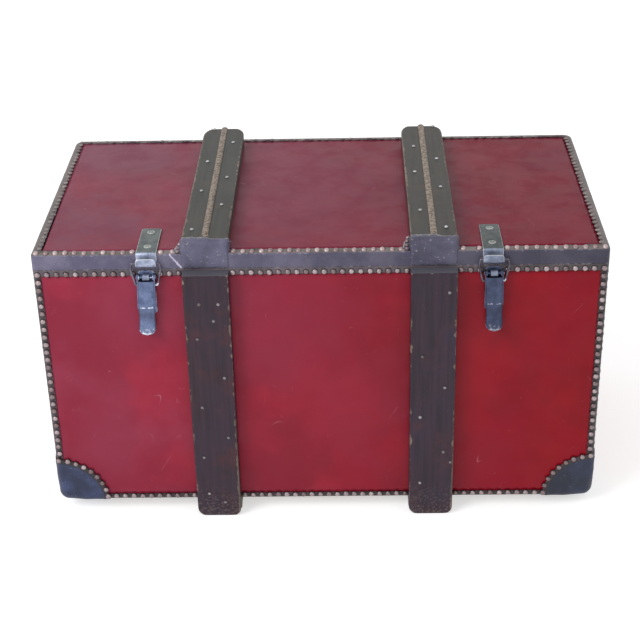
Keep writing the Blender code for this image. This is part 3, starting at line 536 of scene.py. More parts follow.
# %% Slat wood
def make_slat_wood(name, dark, light, brown, cool, stretch, bare_amount, streaks, side_light, ends=()):
    """ends holds the heights of a slat's foot, which is scuffed, and of its top end, for slats that stand
    upright. The top end face is painted pale: partly it has lost its stain, partly it is painted light on a
    face that the lid above shades."""
    material, recipe, shader, place = start_material(name, 0.5, specular=0.4)
    grain = recipe.group("wood grain", place=place, stretch=stretch)
    blotch = blotched(recipe, place, 0.07, 0.35, 0.7)
    rusty = blotched(recipe, place, 0.045, 0.5, 0.72)
    stain = recipe.mix(recipe.times(grain["Tone"], streaks), dark, light)
    stain = recipe.mix(recipe.times(blotch, 0.6), stain, cool)
    stain = recipe.mix(recipe.times(rusty, 0.6), stain, brown)
    # Painted light: tinted at the left end and darker at the right, as if lit from the left.
    stain = paint_light_from_left(recipe, place, stain, *side_light)
    scuffs = scratched(
        recipe, place, turn=(0.4, 1.3, 0.2), length=0.05, spacing=0.012, width=0.012, amount=0.08
    )
    scuffs = recipe.math("MAXIMUM", scuffs, blotched(recipe, place, 0.004, 0.73, 0.76))
    colour = recipe.mix(recipe.times(scuffs, 0.4), stain, paint(125, 118, 118))
    worn = rubbed_off(recipe, place, "wear", 0.008, bare_amount)
    bare = recipe.mix(grain["Tone"], paint(96, 85, 77), paint(150, 137, 126))
    if ends:
        foot, head = ends
        height = recipe.axis(place, "Z")
        low_down = recipe.remap(height, foot + 0.07, foot)
        scuffed = recipe.times(blotched(recipe, place, 0.0035, 0.5, 0.66), low_down)
        colour = recipe.mix(recipe.times(scuffed, 0.42), colour, paint(132, 116, 108))
    colour = recipe.mix(recipe.times(worn, 0.85), colour, bare)
    if ends:
        # Painted light: the top end face is painted pale, partly for stain it has lost, partly as light on a
        # face that the lid above shades.
        bare_and_lit_top = recipe.remap(height, head - 0.0004, head - 0.0001)
        colour = recipe.mix(bare_and_lit_top, colour, paint(90, 89, 98))
    bead = rubbed_off(recipe, place, "mark", 0.004, 0.62)
    crumbs = blotched(recipe, place, 0.004, 0.4, 0.58)
    colour = recipe.mix(bead, colour, recipe.mix(crumbs, paint(92, 77, 66), paint(154, 139, 124)))
    normal = recipe.bump(grain["Height"], 0.0003, 0.35)
    normal = recipe.bump(blotch, 0.0006, 0.4, normal)
    roughness = recipe.remap(worn, 0.0, 1.0, 0.48, 0.75)
    wire_up(recipe, shader, base_color=colour, roughness=roughness, normal=normal)
    return material


UPRIGHT_GRAIN = (150, 150, 9)
LID_GRAIN = (150, 9, 150)
# The tints of both woods are painted light from the left.
front_wood = make_slat_wood(
    "front_slat_wood", dark=paint(30, 12, 24), light=paint(62, 36, 48), brown=paint(76, 36, 40),
    cool=paint(46, 34, 54), stretch=UPRIGHT_GRAIN, bare_amount=0.36, streaks=0.75,
    side_light=((1.04, 0.96, 0.96), (0.84, 1.0, 1.16)), ends=[corner.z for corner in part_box("front_slat_left")],
)
lid_wood = make_slat_wood(
    "lid_slat_wood", dark=paint(42, 42, 40), light=paint(68, 68, 63), brown=paint(74, 64, 54),
    cool=paint(58, 60, 58), stretch=LID_GRAIN, bare_amount=0.42, streaks=0.6,
    side_light=((0.98, 0.98, 0.97), (0.88, 0.76, 0.68)),
)
print("finish:", front_wood.name, lid_wood.name)

# %% [markdown]
# The box itself is plain board. Its inside is papered, as such trunks are, in a cream paper that has
# yellowed. Paper could be a sheet of its own, but it is thinner than any mesh needs to be, so it is a
# colour on the boards: from the inner floor up they show paper, and below it bare wood.

# %% Box wood and lining paper
BOARD_GRAIN = (9, 120, 120)
INNER_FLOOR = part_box("bottom_board")[1].z


def make_box_wood(name, papered):
    material, recipe, shader, place = start_material(name, 0.7)
    grain = recipe.group("wood grain", place=place, stretch=BOARD_GRAIN)
    colour = recipe.mix(grain["Tone"], paint(140, 104, 70), paint(176, 138, 98))
    normal = recipe.bump(grain["Height"], 0.0003, 0.5)
    if papered:
        inside = recipe.remap(recipe.axis(place, "Z"), INNER_FLOOR - 3 * MM, INNER_FLOOR - 0.5 * MM)
        stain = blotched(recipe, place, 0.12, 0.45, 0.75)
        specks = blotched(recipe, place, 0.004, 0.62, 0.7)
        paper = recipe.mix(stain, paint(214, 200, 170), paint(186, 160, 118))
        paper = recipe.mix(recipe.times(specks, 0.3), paper, paint(130, 100, 70))
        colour = recipe.mix(inside, colour, paper)
    wire_up(recipe, shader, base_color=colour, normal=normal)
    return material


papered_board = make_box_wood("papered_board", papered=True)
bare_board = make_box_wood("bare_board", papered=False)
print("finish:", papered_board.name, bare_board.name)

# %% [markdown]
# The latches are pressed steel with a dull blue tarnish, bright where they are rubbed and where highlights
# are painted on as wear, on edges, creases and tips. The hasp's flat top has gone grey green; its hook in
# front is painted lighter and bluer, as a painted highlight. Tarnish is a colour and a loss of gloss at
# once, so one mask of wear and painted highlight drives both. One recipe with its own colours makes each
# fitting.

# %% Tarnished metal
# Painted light from the left: the tints of a fitting's left and right ends.
METAL_SIDE_LIGHT = ((1.1, 1.1, 1.15), (0.7, 0.7, 0.74))


def make_metal(name, tarnish, clean, bright, roughness, edge_amount, front=(), ends=METAL_SIDE_LIGHT):
    """front holds two tones for what stands before the trunk's front, painted lighter and bluer there as a
    painted highlight.
    """
    material, recipe, shader, place = start_material(name, roughness, metallic=0.7)
    blotch = blotched(recipe, place, 0.014, 0.3, 0.7)
    colour = recipe.mix(blotch, tarnish, clean)
    if front:
        # Painted highlight: what stands before the trunk's front is lighter and bluer.
        ahead = recipe.remap(recipe.axis(place, "Y"), FRONT_Y + 1.5 * MM, FRONT_Y - 0.5 * MM)
        colour = recipe.mix(ahead, colour, recipe.mix(blotch, *front))
    specks = blotched(recipe, place, 0.0025, 0.55, 0.72)
    colour = recipe.mix(recipe.times(specks, 0.5), colour, paint(44, 44, 50))
    # Painted shade: the attribute mark darkens the colour; the levers carry it in their hollow, along their
    # rolled sides and on their back.
    colour = recipe.mix(recipe.attribute("mark"), colour, paint(36, 42, 62))
    scuffs = scratched(
        recipe, place, turn=(0.1, 0.4, 1.2), length=0.02, spacing=0.004, width=0.02, amount=0.1
    )
    # Wear and painted highlight: rubbed places and the edges, creases and tips that should catch the light
    # are made bright.
    worn = rubbed_off(recipe, place, "wear", 0.004, edge_amount)
    wear_and_highlight = recipe.math("MAXIMUM", worn, recipe.times(scuffs, 0.4))
    colour = recipe.mix(wear_and_highlight, colour, bright)
    # Painted light: brighter at the left end, darker at the right.
    colour = paint_light_from_left(recipe, place, colour, *ends)
    gloss = recipe.remap(wear_and_highlight, 0.0, 1.0, roughness + 0.08, roughness - 0.12)
    normal = recipe.bump(recipe.noise(place, 0.003, detail=3.0), 0.0001, 0.6)
    wire_up(recipe, shader, base_color=colour, roughness=gloss, normal=normal)
    return material


# The right lever is painted much darker than the left: painted light from the left.
lever_steel = make_metal(
    "lever_steel", paint(82, 93, 122), paint(111, 123, 155), paint(212, 216, 230), roughness=0.36,
    edge_amount=0.36, ends=((1.15, 1.17, 1.2), (0.38, 0.38, 0.42)),
)
bail_steel = make_metal(
    "bail_steel", paint(88, 84, 94), paint(134, 128, 138), paint(222, 222, 228), roughness=0.34,
    edge_amount=0.46,
)
# The front tones of the hasp are a painted highlight on its hook.
hasp_steel = make_metal(
    "hasp_steel", paint(82, 90, 88), paint(110, 116, 114), paint(215, 215, 215), roughness=0.42,
    edge_amount=0.46, front=(paint(122, 132, 152), paint(178, 187, 206)),
)
hinge_steel = make_metal(
    "hinge_steel", paint(72, 70, 70), paint(108, 106, 104), paint(200, 198, 192), roughness=0.45,
    edge_amount=0.4,
)
print("finish:", lever_steel.name, bail_steel.name, hasp_steel.name, hinge_steel.name)

# %% [markdown]
# Dome nails were once brass. They are now a dull pinkish brown, mottled with grime and each a little
# different, with a painted highlight on the top of the dome and painted shade at its foot. One material
# reads a random tone and the height on the dome from attributes, which saves a material for each nail.


# %% Nail metal
def make_nail_metal(name, grime_and_shade, dark, light, clean):
    """clean gives the heights on the dome between which the painted shade at its foot turns into the painted
    highlight on top; the screws give them the other way round.
    """
    material, recipe, shader, place = start_material(name, 0.4, metallic=0.45)
    tone = recipe.times(recipe.attribute("tone"), 0.8)
    blotch = blotched(recipe, place, 0.003, 0.35, 0.7)
    # Painted light: the dome's foot is painted dark as shade and its top light as a highlight.
    crown = recipe.remap(recipe.attribute("crown"), *clean)
    colour = recipe.mix(recipe.times(blotch, 0.4), recipe.mix(tone, dark, light), grime_and_shade)
    colour = recipe.mix(crown, grime_and_shade, colour)
    normal = recipe.bump(recipe.noise(place, 0.0015, detail=2.0), 0.00008, 0.5)
    wire_up(recipe, shader, base_color=colour, normal=normal)
    return material


dome_metal = make_nail_metal(
    "dome_nail_metal", paint(50, 40, 44), paint(132, 112, 113), paint(214, 196, 199), clean=(0.25, 0.85)
)
lid_nail_metal = make_nail_metal(
    "lid_nail_metal", paint(88, 74, 76), paint(152, 128, 130), paint(226, 206, 206), clean=(0.2, 0.85)
)
dull_nail_metal = make_nail_metal(
    "dull_nail_metal", paint(84, 76, 75), paint(122, 111, 108), paint(176, 163, 159), clean=(0.1, 0.7)
)
slat_nail_metal = make_nail_metal(
    "slat_nail_metal", paint(66, 58, 62), paint(96, 90, 94), paint(186, 182, 184), clean=(0.4, 0.93)
)
lid_slat_nail_metal = make_nail_metal(
    "lid_slat_nail_metal", paint(84, 84, 84), paint(168, 168, 168), paint(228, 228, 230), clean=(0.1, 0.6)
)
# For the screws this is turned round: the top is painted dark, as shade in the slot, and the ring round it
# light.
screw_metal = make_nail_metal(
    "screw_metal", paint(40, 43, 43), paint(166, 172, 168), paint(214, 218, 214), clean=(0.97, 0.7)
)
print("finishes of nails:", [m.name for m in bpy.data.materials if m.name.endswith("_metal")])

# %% [markdown]
# The trunk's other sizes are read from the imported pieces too, so that this notebook follows the solids if
# they change. Only what the solids don't hold, such as the thickness of a hide, is given here. The old
# box has sunk a little on its runners, so all that wraps its bottom edge is drawn lower by the sag.

# %% Sizes
SAG = 2.5 * MM
packed_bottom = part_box("bottom_binding")[0].z
BOTTOM = packed_bottom - SAG
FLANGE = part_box("bottom_binding")[1].z - packed_bottom
RIM_LOW = box_low.z
RIM_TOP = box_high.z
LIP_LOW, TOP = (corner.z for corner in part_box("lid_binding"))
HIDE = 1.7 * MM
EDGE_RADIUS = 8 * MM
LID_EDGE_RADIUS = 4 * MM
GAP = 0.3 * MM
STEP = 8 * MM
print("case, mm:", [round(v / MM) for v in (2 * HALF_WIDTH, 2 * HALF_DEPTH, TOP - BOTTOM)])

# %% [markdown]
# Most pieces are lofts: rings of points joined into a skin, as planks run over the ribs of a boat. Each
# point carries its wear, from 0 to 1, and a second value, mark, which tells a bead or a nail band from the
# rest. On the levers and the bail wear also carries painted highlights, and on the levers mark carries
# painted shade. They could be shaped by hand, but rings that are worked out follow the imported sizes.


# %% Lofts and grids
def arc(centre, radius, start, end, count):
    """Points on an arc, with its angles in degrees."""
    turns = [math.radians(start + (end - start) * i / count) for i in range(count + 1)]
    return [(centre[0] + radius * math.cos(t), centre[1] + radius * math.sin(t)) for t in turns]


def even_steps(end, count):
    return [end * i / count for i in range(count + 1)]


def start_mesh():
    """An empty mesh to build on, whose points carry wear and mark."""
    bm = bmesh.new()
    for layer in ("wear", "mark"):
        bm.verts.layers.float.new(layer)
    return bm


def add_rows(bm, rows):
    """Add rows of points, each given as (place, wear, mark)."""
    wear, mark = bm.verts.layers.float["wear"], bm.verts.layers.float["mark"]
    made = []
    for row in rows:
        made.append([bm.verts.new(place) for place, _, _ in row])
        for vertex, (_, worn, marked) in zip(made[-1], row):
            vertex[wear], vertex[mark] = worn, marked
    return made


def add_rings(bm, rings, closed=False):
    """Join rings of points into a skin. The ends of an open run are covered."""
    rows = add_rows(bm, rings)
    pairs = list(zip(rows, rows[1:]))
    if closed:
        pairs.append((rows[-1], rows[0]))
    for lower, upper in pairs:
        for i in range(len(lower)):
            j = (i + 1) % len(lower)
            bm.faces.new((lower[i], lower[j], upper[j], upper[i]))
    if not closed:
        bm.faces.new(rows[0])
        bm.faces.new(rows[-1])


def add_grid(bm, grid):
    """Join an open grid of points into a skin."""
    rows = add_rows(bm, grid)
    for lower, upper in zip(rows, rows[1:]):
        for a, b, c, d in zip(lower, lower[1:], upper[1:], upper):
            bm.faces.new((a, b, c, d))


print("points of a quarter circle in 6 steps:", len(arc((0, 0), 1, 0, 90, 6)))

# %% [markdown]
# Every piece gets its finish, rides on the body that moves it, and stands for a imported piece. Hide and
# cloth are drawn as one skin, and a Solidify modifier thickens them evenly. Uneven edges come from a noise
# read at a place, which gives the same value there every time, as chance would not.


# %% Finish and show a piece
SHARP_ANGLE = math.radians(40)


def mesh_from(name, bm):
    mesh = bpy.data.meshes.new(name)
    bm.to_mesh(mesh)
    bm.free()
    mesh.shade_smooth()
    return mesh


def finished_mesh(name, bm):
    """The mesh of a closed skin, which faces outwards and is smooth but for its sharp edges."""
    bmesh.ops.recalc_face_normals(bm, faces=bm.faces)
    mesh = mesh_from(name, bm)
    mesh.set_sharp_from_angle(angle=SHARP_ANGLE)
    return mesh


def loft(name, rings, closed=False):
    bm = start_mesh()
    add_rings(bm, rings, closed)
    return finished_mesh(name, bm)


def add_piece(mesh, material, body, slot, *stands_for):
    """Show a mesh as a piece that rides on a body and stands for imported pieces."""
    piece = bpy.data.objects.new(mesh.name, mesh)
    bpy.context.collection.objects.link(piece)
    mesh.materials.clear()
    mesh.materials.append(material)
    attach(piece, body)
    if stands_for:
        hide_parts(*stands_for)
    return piece


def thicken(piece, thickness, offset):
    """Give a skin its thickness: inwards with an offset of -1, outwards with 1."""
    solid = piece.modifiers.new("thickness", "SOLIDIFY")
    solid.thickness = thickness
    solid.offset = offset


def wander(place, size, seed=0.0):
    """A smooth random value, about -1 to 1, that changes over a given size."""
    return noise.noise(Vector(place) / size + Vector((seed, seed, seed)))


def fall(value, start, end):
    """A smooth step down from 1 to 0 between start and end."""
    t = min(1.0, max(0.0, (value - start) / (end - start)))
    return 1 - t * t * (3 - 2 * t)


print("fall from 1 to 0 at a quarter, a half, three quarters:", [fall(t / 4, 0, 1) for t in (1, 2, 3)])

# %% [markdown]
# A binding is a strip of hide folded over an edge. Its section is drawn once, as the path of the outer
# side, and the hide's thickness is added on the inner side. A flat strip bent by a modifier would lose
# its sharp fold. Wear is high on the free edges and on the bends.


# %% Section of a strip
def edge_wear(path, i):
    if i in (0, len(path) - 1):
        return 0.75
    a = Vector(path[i]) - Vector(path[i - 1])
    b = Vector(path[i + 1]) - Vector(path[i])
    return min(0.65, 0.15 + a.angle(b, 0) * 2)


def hide_section(path, thickness=HIDE):
    """A closed section from the outer path of a strip: each point is (inset, height, wear)."""
    inner = []
    for i, (u, v) in enumerate(path):
        before, after = path[max(i - 1, 0)], path[min(i + 1, len(path) - 1)]
        run = math.dist(before, after)
        normal = ((after[1] - before[1]) / run, -(after[0] - before[0]) / run)
        inner.append((u + normal[0] * thickness, v + normal[1] * thickness, 0.0))
    outer = [(u, v, edge_wear(path, i)) for i, (u, v) in enumerate(path)]
    return outer + inner[::-1]


print("points of a flat strip's section:", len(hide_section([(0, 0), (0, FLANGE)])))

# %% [markdown]
# The section goes round the trunk's plan, which is a rectangle with rounded corners. Each station is a
# share of the straight run and an outward direction, so the same stations serve for every inset. They
# are the ribs of the loft, close enough together for a free edge to wander.

# %% Run round the trunk
CORNER_STEPS = 6


def plan_stations():
    """Stations round the plan: each is (share of X, share of Y, angle of the outward normal)."""
    across = round(2 * HALF_WIDTH / STEP)
    deep = round(2 * HALF_DEPTH / STEP)
    sides = ((1, -1, -90, across), (1, 1, 0, deep), (-1, 1, 90, across), (-1, -1, 180, deep))
    stations = []
    for share_x, share_y, start, count in sides:
        for i in range(count):
            run = 2 * i / count - 1
            along_x = start in (-90, 90)
            stations.append((share_x * run, share_y, start) if along_x else (share_x, share_y * run, start))
        stations += [(share_x, share_y, start + 90 * i / CORNER_STEPS) for i in range(CORNER_STEPS)]
    return stations


def plan_place(station, inset, radius):
    """Where a station lies in the plan when the outline is drawn in by an inset."""
    share_x, share_y, angle = station
    corner = max(radius - inset, GAP)
    normal = (math.cos(math.radians(angle)), math.sin(math.radians(angle)))
    x = share_x * (HALF_WIDTH - inset - corner) + corner * normal[0]
    y = share_y * (HALF_DEPTH - inset - corner) + corner * normal[1]
    return x, y, normal


print("stations round the trunk:", len(plan_stations()))

# %% [markdown]
# Now the section is swept along the stations. A curve with a bevel profile would keep one section all
# along. Here each ring is drawn for its own place, so the free edges wander as a knife does, the face
# swells a little, and the strip tucks in under the corner caps.

# %% Strip all round the trunk
TUCK_FADE = (32 * MM, 56 * MM)
KNIFE_WAVE = 12 * MM
FACE_SWELL = 0.25 * MM


def make_ring(
    name, path, waver_start, waver_end, plain_height=None, tuck=0.0, back_radius=EDGE_RADIUS, broader=None
):
    """A strip of hide all round the trunk. The wavers say how far each free edge wanders.

    Below plain_height the strip is plain; the rest of it is marked as the band of the nails. The tuck
    draws the strip in at the trunk's corners, where a cap covers it. broader gives the extra breadth of
    the strip at a place in plan.
    """
    rings = []
    for station in plan_stations():
        radius = EDGE_RADIUS + (back_radius - EDGE_RADIUS) * (station[1] + 1) / 2
        x, y, _ = plan_place(station, 0, radius)
        tucked = tuck * fall(max(HALF_WIDTH - abs(x), HALF_DEPTH - abs(y)), *TUCK_FADE)
        extra = broader(x, y) if broader else 0.0
        drawn = path[:-2] + [(inset + extra, z) for inset, z in path[-2:]]
        for end, ahead, waver in ((0, 1, waver_start), (-1, -2, waver_end)):
            out = (Vector(path[end]) - Vector(path[ahead])).normalized()
            shift = out * waver * (wander((x, y, end), KNIFE_WAVE) - 0.4)
            drawn[end] = (path[end][0] + shift.x, path[end][1] + shift.y)
        ring = []
        for inset, z, worn in hide_section(drawn):
            px, py, (nx, ny) = plan_place(station, inset + tucked, radius)
            swell = FACE_SWELL * (1 + wander((px, py, z), 0.02, 7.0)) * (worn > 0)
            marked = 1.0 if plain_height is None or z > plain_height else 0.0
            ring.append(((px + nx * swell, py + ny * swell, z + tucked), worn, marked))
        rings.append(ring)
    return loft(name, rings, closed=True)


print("a strip's free edge wanders over, mm:", round(KNIFE_WAVE / MM))

# %% [markdown]
# Two strips go all round the case: one under its bottom edge, with a round fold, and one over its rim,
# folded tightly. A real strip is nailed on in lengths. Here each is one closed run, because a butt joint
# hardly shows.

# %% Bindings of the bottom and the rim
RIM_ROUND = 1.2 * MM
RIM_INSET = 12 * MM
low_corner = arc((EDGE_RADIUS, BOTTOM + EDGE_RADIUS), EDGE_RADIUS, 270, 180, 6)
bottom_path = [(FLANGE, BOTTOM), (FLANGE - 1 * MM, BOTTOM)] + low_corner
bottom_path += [(0, BOTTOM + FLANGE - 1 * MM), (0, BOTTOM + FLANGE)]
bottom_strip = make_ring("bottom_strip", bottom_path, 0.4 * MM, 0.8 * MM, tuck=4 * MM)
add_piece(bottom_strip, corner_leather, "case", "binding_leather", "bottom_binding")

rim_path = [(0, RIM_LOW), (0, RIM_LOW + 1 * MM)]
rim_path += arc((RIM_ROUND, RIM_TOP - RIM_ROUND), RIM_ROUND, 180, 90, 4) + [(RIM_INSET, RIM_TOP)]
rim_strip = make_ring("rim_strip", rim_path, 0.8 * MM, 0.0)
add_piece(rim_strip, rim_leather, "case", "binding_leather", "rim_binding")
print("faces of the two strips:", len(bottom_strip.polygons), len(rim_strip.polygons))

# %% [markdown]
# The lid's strip makes its lip and folds over onto its top, where the nails go. It is broader on the two
# sides, above all on the left one towards the front, and rounder at the back corners. An even strip would
# be simpler, but the camera looks down on this one.

# %% Binding of the lid
LID_BACK_RADIUS = 14 * MM
BROADER_NEAR = (8 * MM, 40 * MM)
lid_path = [(0, LIP_LOW), (0, LIP_LOW + 2 * MM), (0, TOP - 2 * LID_EDGE_RADIUS)]
lid_path += arc((LID_EDGE_RADIUS, TOP - LID_EDGE_RADIUS), LID_EDGE_RADIUS, 180, 90, 6)
lid_path += [(FLANGE - 1 * MM, TOP), (FLANGE, TOP)]


def lid_flange_extra(x, y):
    """How much broader the lid's flange is at a place."""
    near_left, near_right = fall(HALF_WIDTH + x, *BROADER_NEAR), fall(HALF_WIDTH - x, *BROADER_NEAR)
    return near_left * (1 * MM + 3.5 * MM * fall(y, -HALF_DEPTH, HALF_DEPTH)) + near_right * 1.2 * MM


lid_lip = make_ring(
    "lid_lip", lid_path, 0.0, 1.4 * MM, plain_height=TOP - 1.5 * MM, back_radius=LID_BACK_RADIUS,
    broader=lid_flange_extra,
)
add_piece(lid_lip, lip_leather, "lid", "binding_leather", "lid_binding")
print("faces of the lid's strip:", len(lid_lip.polygons))

# %% [markdown]
# An upright binding is a leather angle over each vertical edge, lofted from above the floor up to the
# rim, with wandering long edges. One function makes all four, mirrored by two signs. Mirror modifiers
# would make all four wander alike, and they are four separate pieces.

# %% Upright bindings
FRONT_FLANGE = 12 * MM
SIDE_FLANGE = 21 * MM
UNDER_CAP = 25 * MM


def make_upright(name, signs, low, high):
    sx, sy = signs
    bend = arc((EDGE_RADIUS, EDGE_RADIUS), EDGE_RADIUS, 180, 270, 6)
    count = round((high - low) / STEP)
    rings = []
    for i in range(count + 1):
        z = low + (high - low) * i / count
        side = 0.6 * MM * wander((sx, sy, z), 0.015, 3.0)
        front = 0.6 * MM * wander((sx, sy, z), 0.015, 5.0)
        path = [(0, SIDE_FLANGE + side), (0, SIDE_FLANGE - 1 * MM)] + bend
        path += [(FRONT_FLANGE - 1 * MM, 0), (FRONT_FLANGE + front, 0)]
        ring = []
        for u, v, worn in hide_section(path[::-1]):
            ring.append(((sx * (HALF_WIDTH - u), sy * (HALF_DEPTH - v), z), worn, 1.0))
        rings.append(ring)
    return loft(name, rings)


CORNERS = [(face, side, sx, sy) for face, sy in (("front", -1), ("back", 1))
           for side, sx in (("left", -1), ("right", 1))]
for face, side, sx, sy in CORNERS:
    node = f"corner_binding_{face}_{side}"
    low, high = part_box(node)
    mesh = make_upright(f"upright_strip_{face}_{side}", (sx, sy), low.z + UNDER_CAP, high.z)
    add_piece(mesh, corner_leather, "case", "binding_leather", node)
print("upright strips:", len(CORNERS), "faces of each:", len(mesh.polygons))

# %% [markdown]
# The panels are cloth glued to board, and never quite flat. Each is a fine grid that swells by a fraction of
# a millimetre, which bends the reflections on its varnish. A bump map could do that too, but real shape also
# shows at the border. Wear says how near a point is to the bindings, because the cloth is paler there:
# partly faded, partly a painted sheen.

# %% Leatherette panels
SWELL = 0.2 * MM
CLOTH = 0.6 * MM
PALE_BORDER_DEPTH = 22 * MM


def panel_grid(low, high, axis, face, sign):
    """The points of a panel's skin, which swells out of the plane of its face."""
    u, v = [i for i in range(3) if i != axis]
    counts = [round((high[i] - low[i]) / STEP) for i in (u, v)]
    grid = []
    for i in range(counts[0] + 1):
        row = []
        for j in range(counts[1] + 1):
            place = [0.0, 0.0, 0.0]
            place[u] = low[u] + (high[u] - low[u]) * i / counts[0]
            place[v] = low[v] + (high[v] - low[v]) * j / counts[1]
            swell = SWELL * (1 + wander(place, 0.07, 2.0))
            place[axis] = face + sign * (swell - CLOTH / 2)
            inward = min(min(place[k] - low[k], high[k] - place[k]) for k in (u, v))
            # Wear by the bindings: partly faded cloth, partly painted sheen.
            row.append((place, math.exp(-inward / PALE_BORDER_DEPTH), 0.0))
        grid.append(row)
    return grid


def make_panel(name, node, outward, material, body, under):
    """The cloth of one side, which reaches by under beneath the bindings round it."""
    low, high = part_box(node)
    axis = max(range(3), key=lambda i: abs(outward[i]))
    sign = outward[axis]
    face = high[axis] if sign > 0 else low[axis]
    u, v = [i for i in range(3) if i != axis]
    low[u], high[u] = low[u] - under, high[u] + under
    low[v] -= 0.8 * under
    bm = start_mesh()
    add_grid(bm, panel_grid(low, high, axis, face, sign))
    bm.normal_update()
    skin = list(bm.faces)
    if skin[0].normal[axis] * sign < 0:
        bmesh.ops.reverse_faces(bm, faces=skin)
    thicken(add_piece(mesh_from(name, bm), material, body, "red_leatherette", node), CLOTH, -1)


WALLS = {"front": (0, -1, 0), "back": (0, 1, 0), "left": (-1, 0, 0), "right": (1, 0, 0)}
for name, outward in WALLS.items():
    make_panel(f"{name}_panel", f"{name}_cover", outward, wall_leatherette, "case", under=5 * MM)
make_panel("lid_panel", "lid_cover", (0, 0, 1), lid_leatherette, "lid", under=0)
print("panels:", len(WALLS) + 1)

# %% [markdown]
# Each bottom corner wears a leather cap, cut to a quarter circle on its three faces and moulded over the
# rounded edges. Sculpting would be the way by hand. Here it is drawn as three quarter discs on a sharp
# corner, and each point is pulled onto the rounded box. A raised line runs round its border.

# %% Point of a corner cap
CAP_RADIUS = 79 * MM
CAP_THICKNESS = 1.5 * MM
CAP_LINE = 70 * MM
LINE_HEIGHT = 0.5 * MM
LINE_WIDTH = 1.1 * MM
CAP_EDGE_RADIUS = 9.2 * MM
CAP_CORNER_EXTRA = 5.3 * MM
CRUMPLE = 0.35 * MM


def round_over(place, radius):
    """Pull a point on a sharp corner, given as depths from its three faces, onto a rounded one."""
    core = Vector([max(depth, radius) for depth in place])
    away = Vector(place) - core
    return core + away.normalized() * radius if away.length > 0 else Vector(place)


def cap_point(depths, reach, signs):
    """The place, wear and mark of a cap's point, from its depths and its reach from the corner."""
    radius = CAP_EDGE_RADIUS + CAP_CORNER_EXTRA * fall(max(depths), 14 * MM, 44 * MM)
    place = round_over(depths, radius)
    raised = LINE_HEIGHT * math.exp(-(((reach - CAP_LINE) / LINE_WIDTH) ** 2))
    crumple = CRUMPLE * (wander(place, 0.014, signs[0] + 2 * signs[1]) + 0.5)
    lift = (place - Vector([max(depth, radius) for depth in place])).normalized()
    place = place + lift * (raised + crumple * (reach < CAP_RADIUS))
    corner = Vector((signs[0] * (HALF_WIDTH + GAP), signs[1] * (HALF_DEPTH + GAP), BOTTOM - GAP))
    where = [c - s * d for c, s, d in zip(corner, (*signs, -1), place)]
    worn = min(1, 1.1 * raised / MM + 0.3 * (reach == CAP_RADIUS) + 0.3 * (reach < 8 * MM))
    return where, worn, float(reach > CAP_LINE + 1.5 * MM)


print("a sharp corner is pulled in by, mm:", round(round_over((0, 0, 0), CAP_EDGE_RADIUS).length / MM, 1))

# %% [markdown]
# The three discs share their straight edges, so their doubled points are merged and the normals turned
# outwards. The stations lie closer together at the raised line. Building the discs apart and merging
# them is simpler than one grid over three faces. The hide gets its thickness from a Solidify modifier.

# %% Corner caps
CAP_TURNS = 30
BORDER = [68 * MM, 69 * MM, CAP_LINE, 71 * MM, 72 * MM, 74 * MM, 76.5 * MM, CAP_RADIUS]
CAP_REACHES = [2 * MM * i for i in range(34)] + BORDER


def make_cap(name, signs):
    bm = start_mesh()
    for flat in range(3):
        u, v = [i for i in range(3) if i != flat]
        grid = []
        for reach in CAP_REACHES:
            row = []
            for turn in [math.radians(90 * j / CAP_TURNS) for j in range(CAP_TURNS + 1)]:
                depths = [0.0, 0.0, 0.0]
                depths[u], depths[v] = reach * math.cos(turn), reach * math.sin(turn)
                row.append(cap_point(depths, reach, signs))
            grid.append(row)
        add_grid(bm, grid)
    bmesh.ops.remove_doubles(bm, verts=bm.verts, dist=0.02 * MM)
    bmesh.ops.dissolve_degenerate(bm, edges=bm.edges, dist=0.005 * MM)
    bmesh.ops.recalc_face_normals(bm, faces=bm.faces)
    outward = Vector((*signs, -1))
    first = max(bm.faces, key=lambda face: face.calc_center_median().dot(outward))
    if first.normal.dot(outward) < 0:
        bmesh.ops.reverse_faces(bm, faces=bm.faces)
    return mesh_from(name, bm)


for face, side, sx, sy in CORNERS:
    mesh = make_cap(f"corner_cap_{face}_{side}", (sx, sy))
    cap = add_piece(mesh, cap_leather, "case", "patch_leather", f"corner_patch_{face}_{side}")
    thicken(cap, CAP_THICKNESS, 1)
print("corner caps:", len(CORNERS), "faces of each:", len(mesh.polygons))

# %% [markdown]
# A slat is a long board with rounded edges and, on the lid, a half-round bead down the middle. Its
# section is drawn as one line with a radius for each long edge, so that an edge can be chipped deeper in
# one place than in another. A bevel would round all of it alike. The lid's slats are drawn thicker than
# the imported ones, with a lower bead.

# %% Section of a slat
SLAT_EDGE = 1.5 * MM
FOOT = 4 * MM
BEAD_HALF = 5.2 * MM
PACKED_BEAD = 4 * MM
BEAD_HEIGHT = 3.4 * MM
BEAD_START = 17
THICKER = 2.6 * MM
LID_SLAT_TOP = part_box("lid_slat_left")[1].z - PACKED_BEAD + THICKER


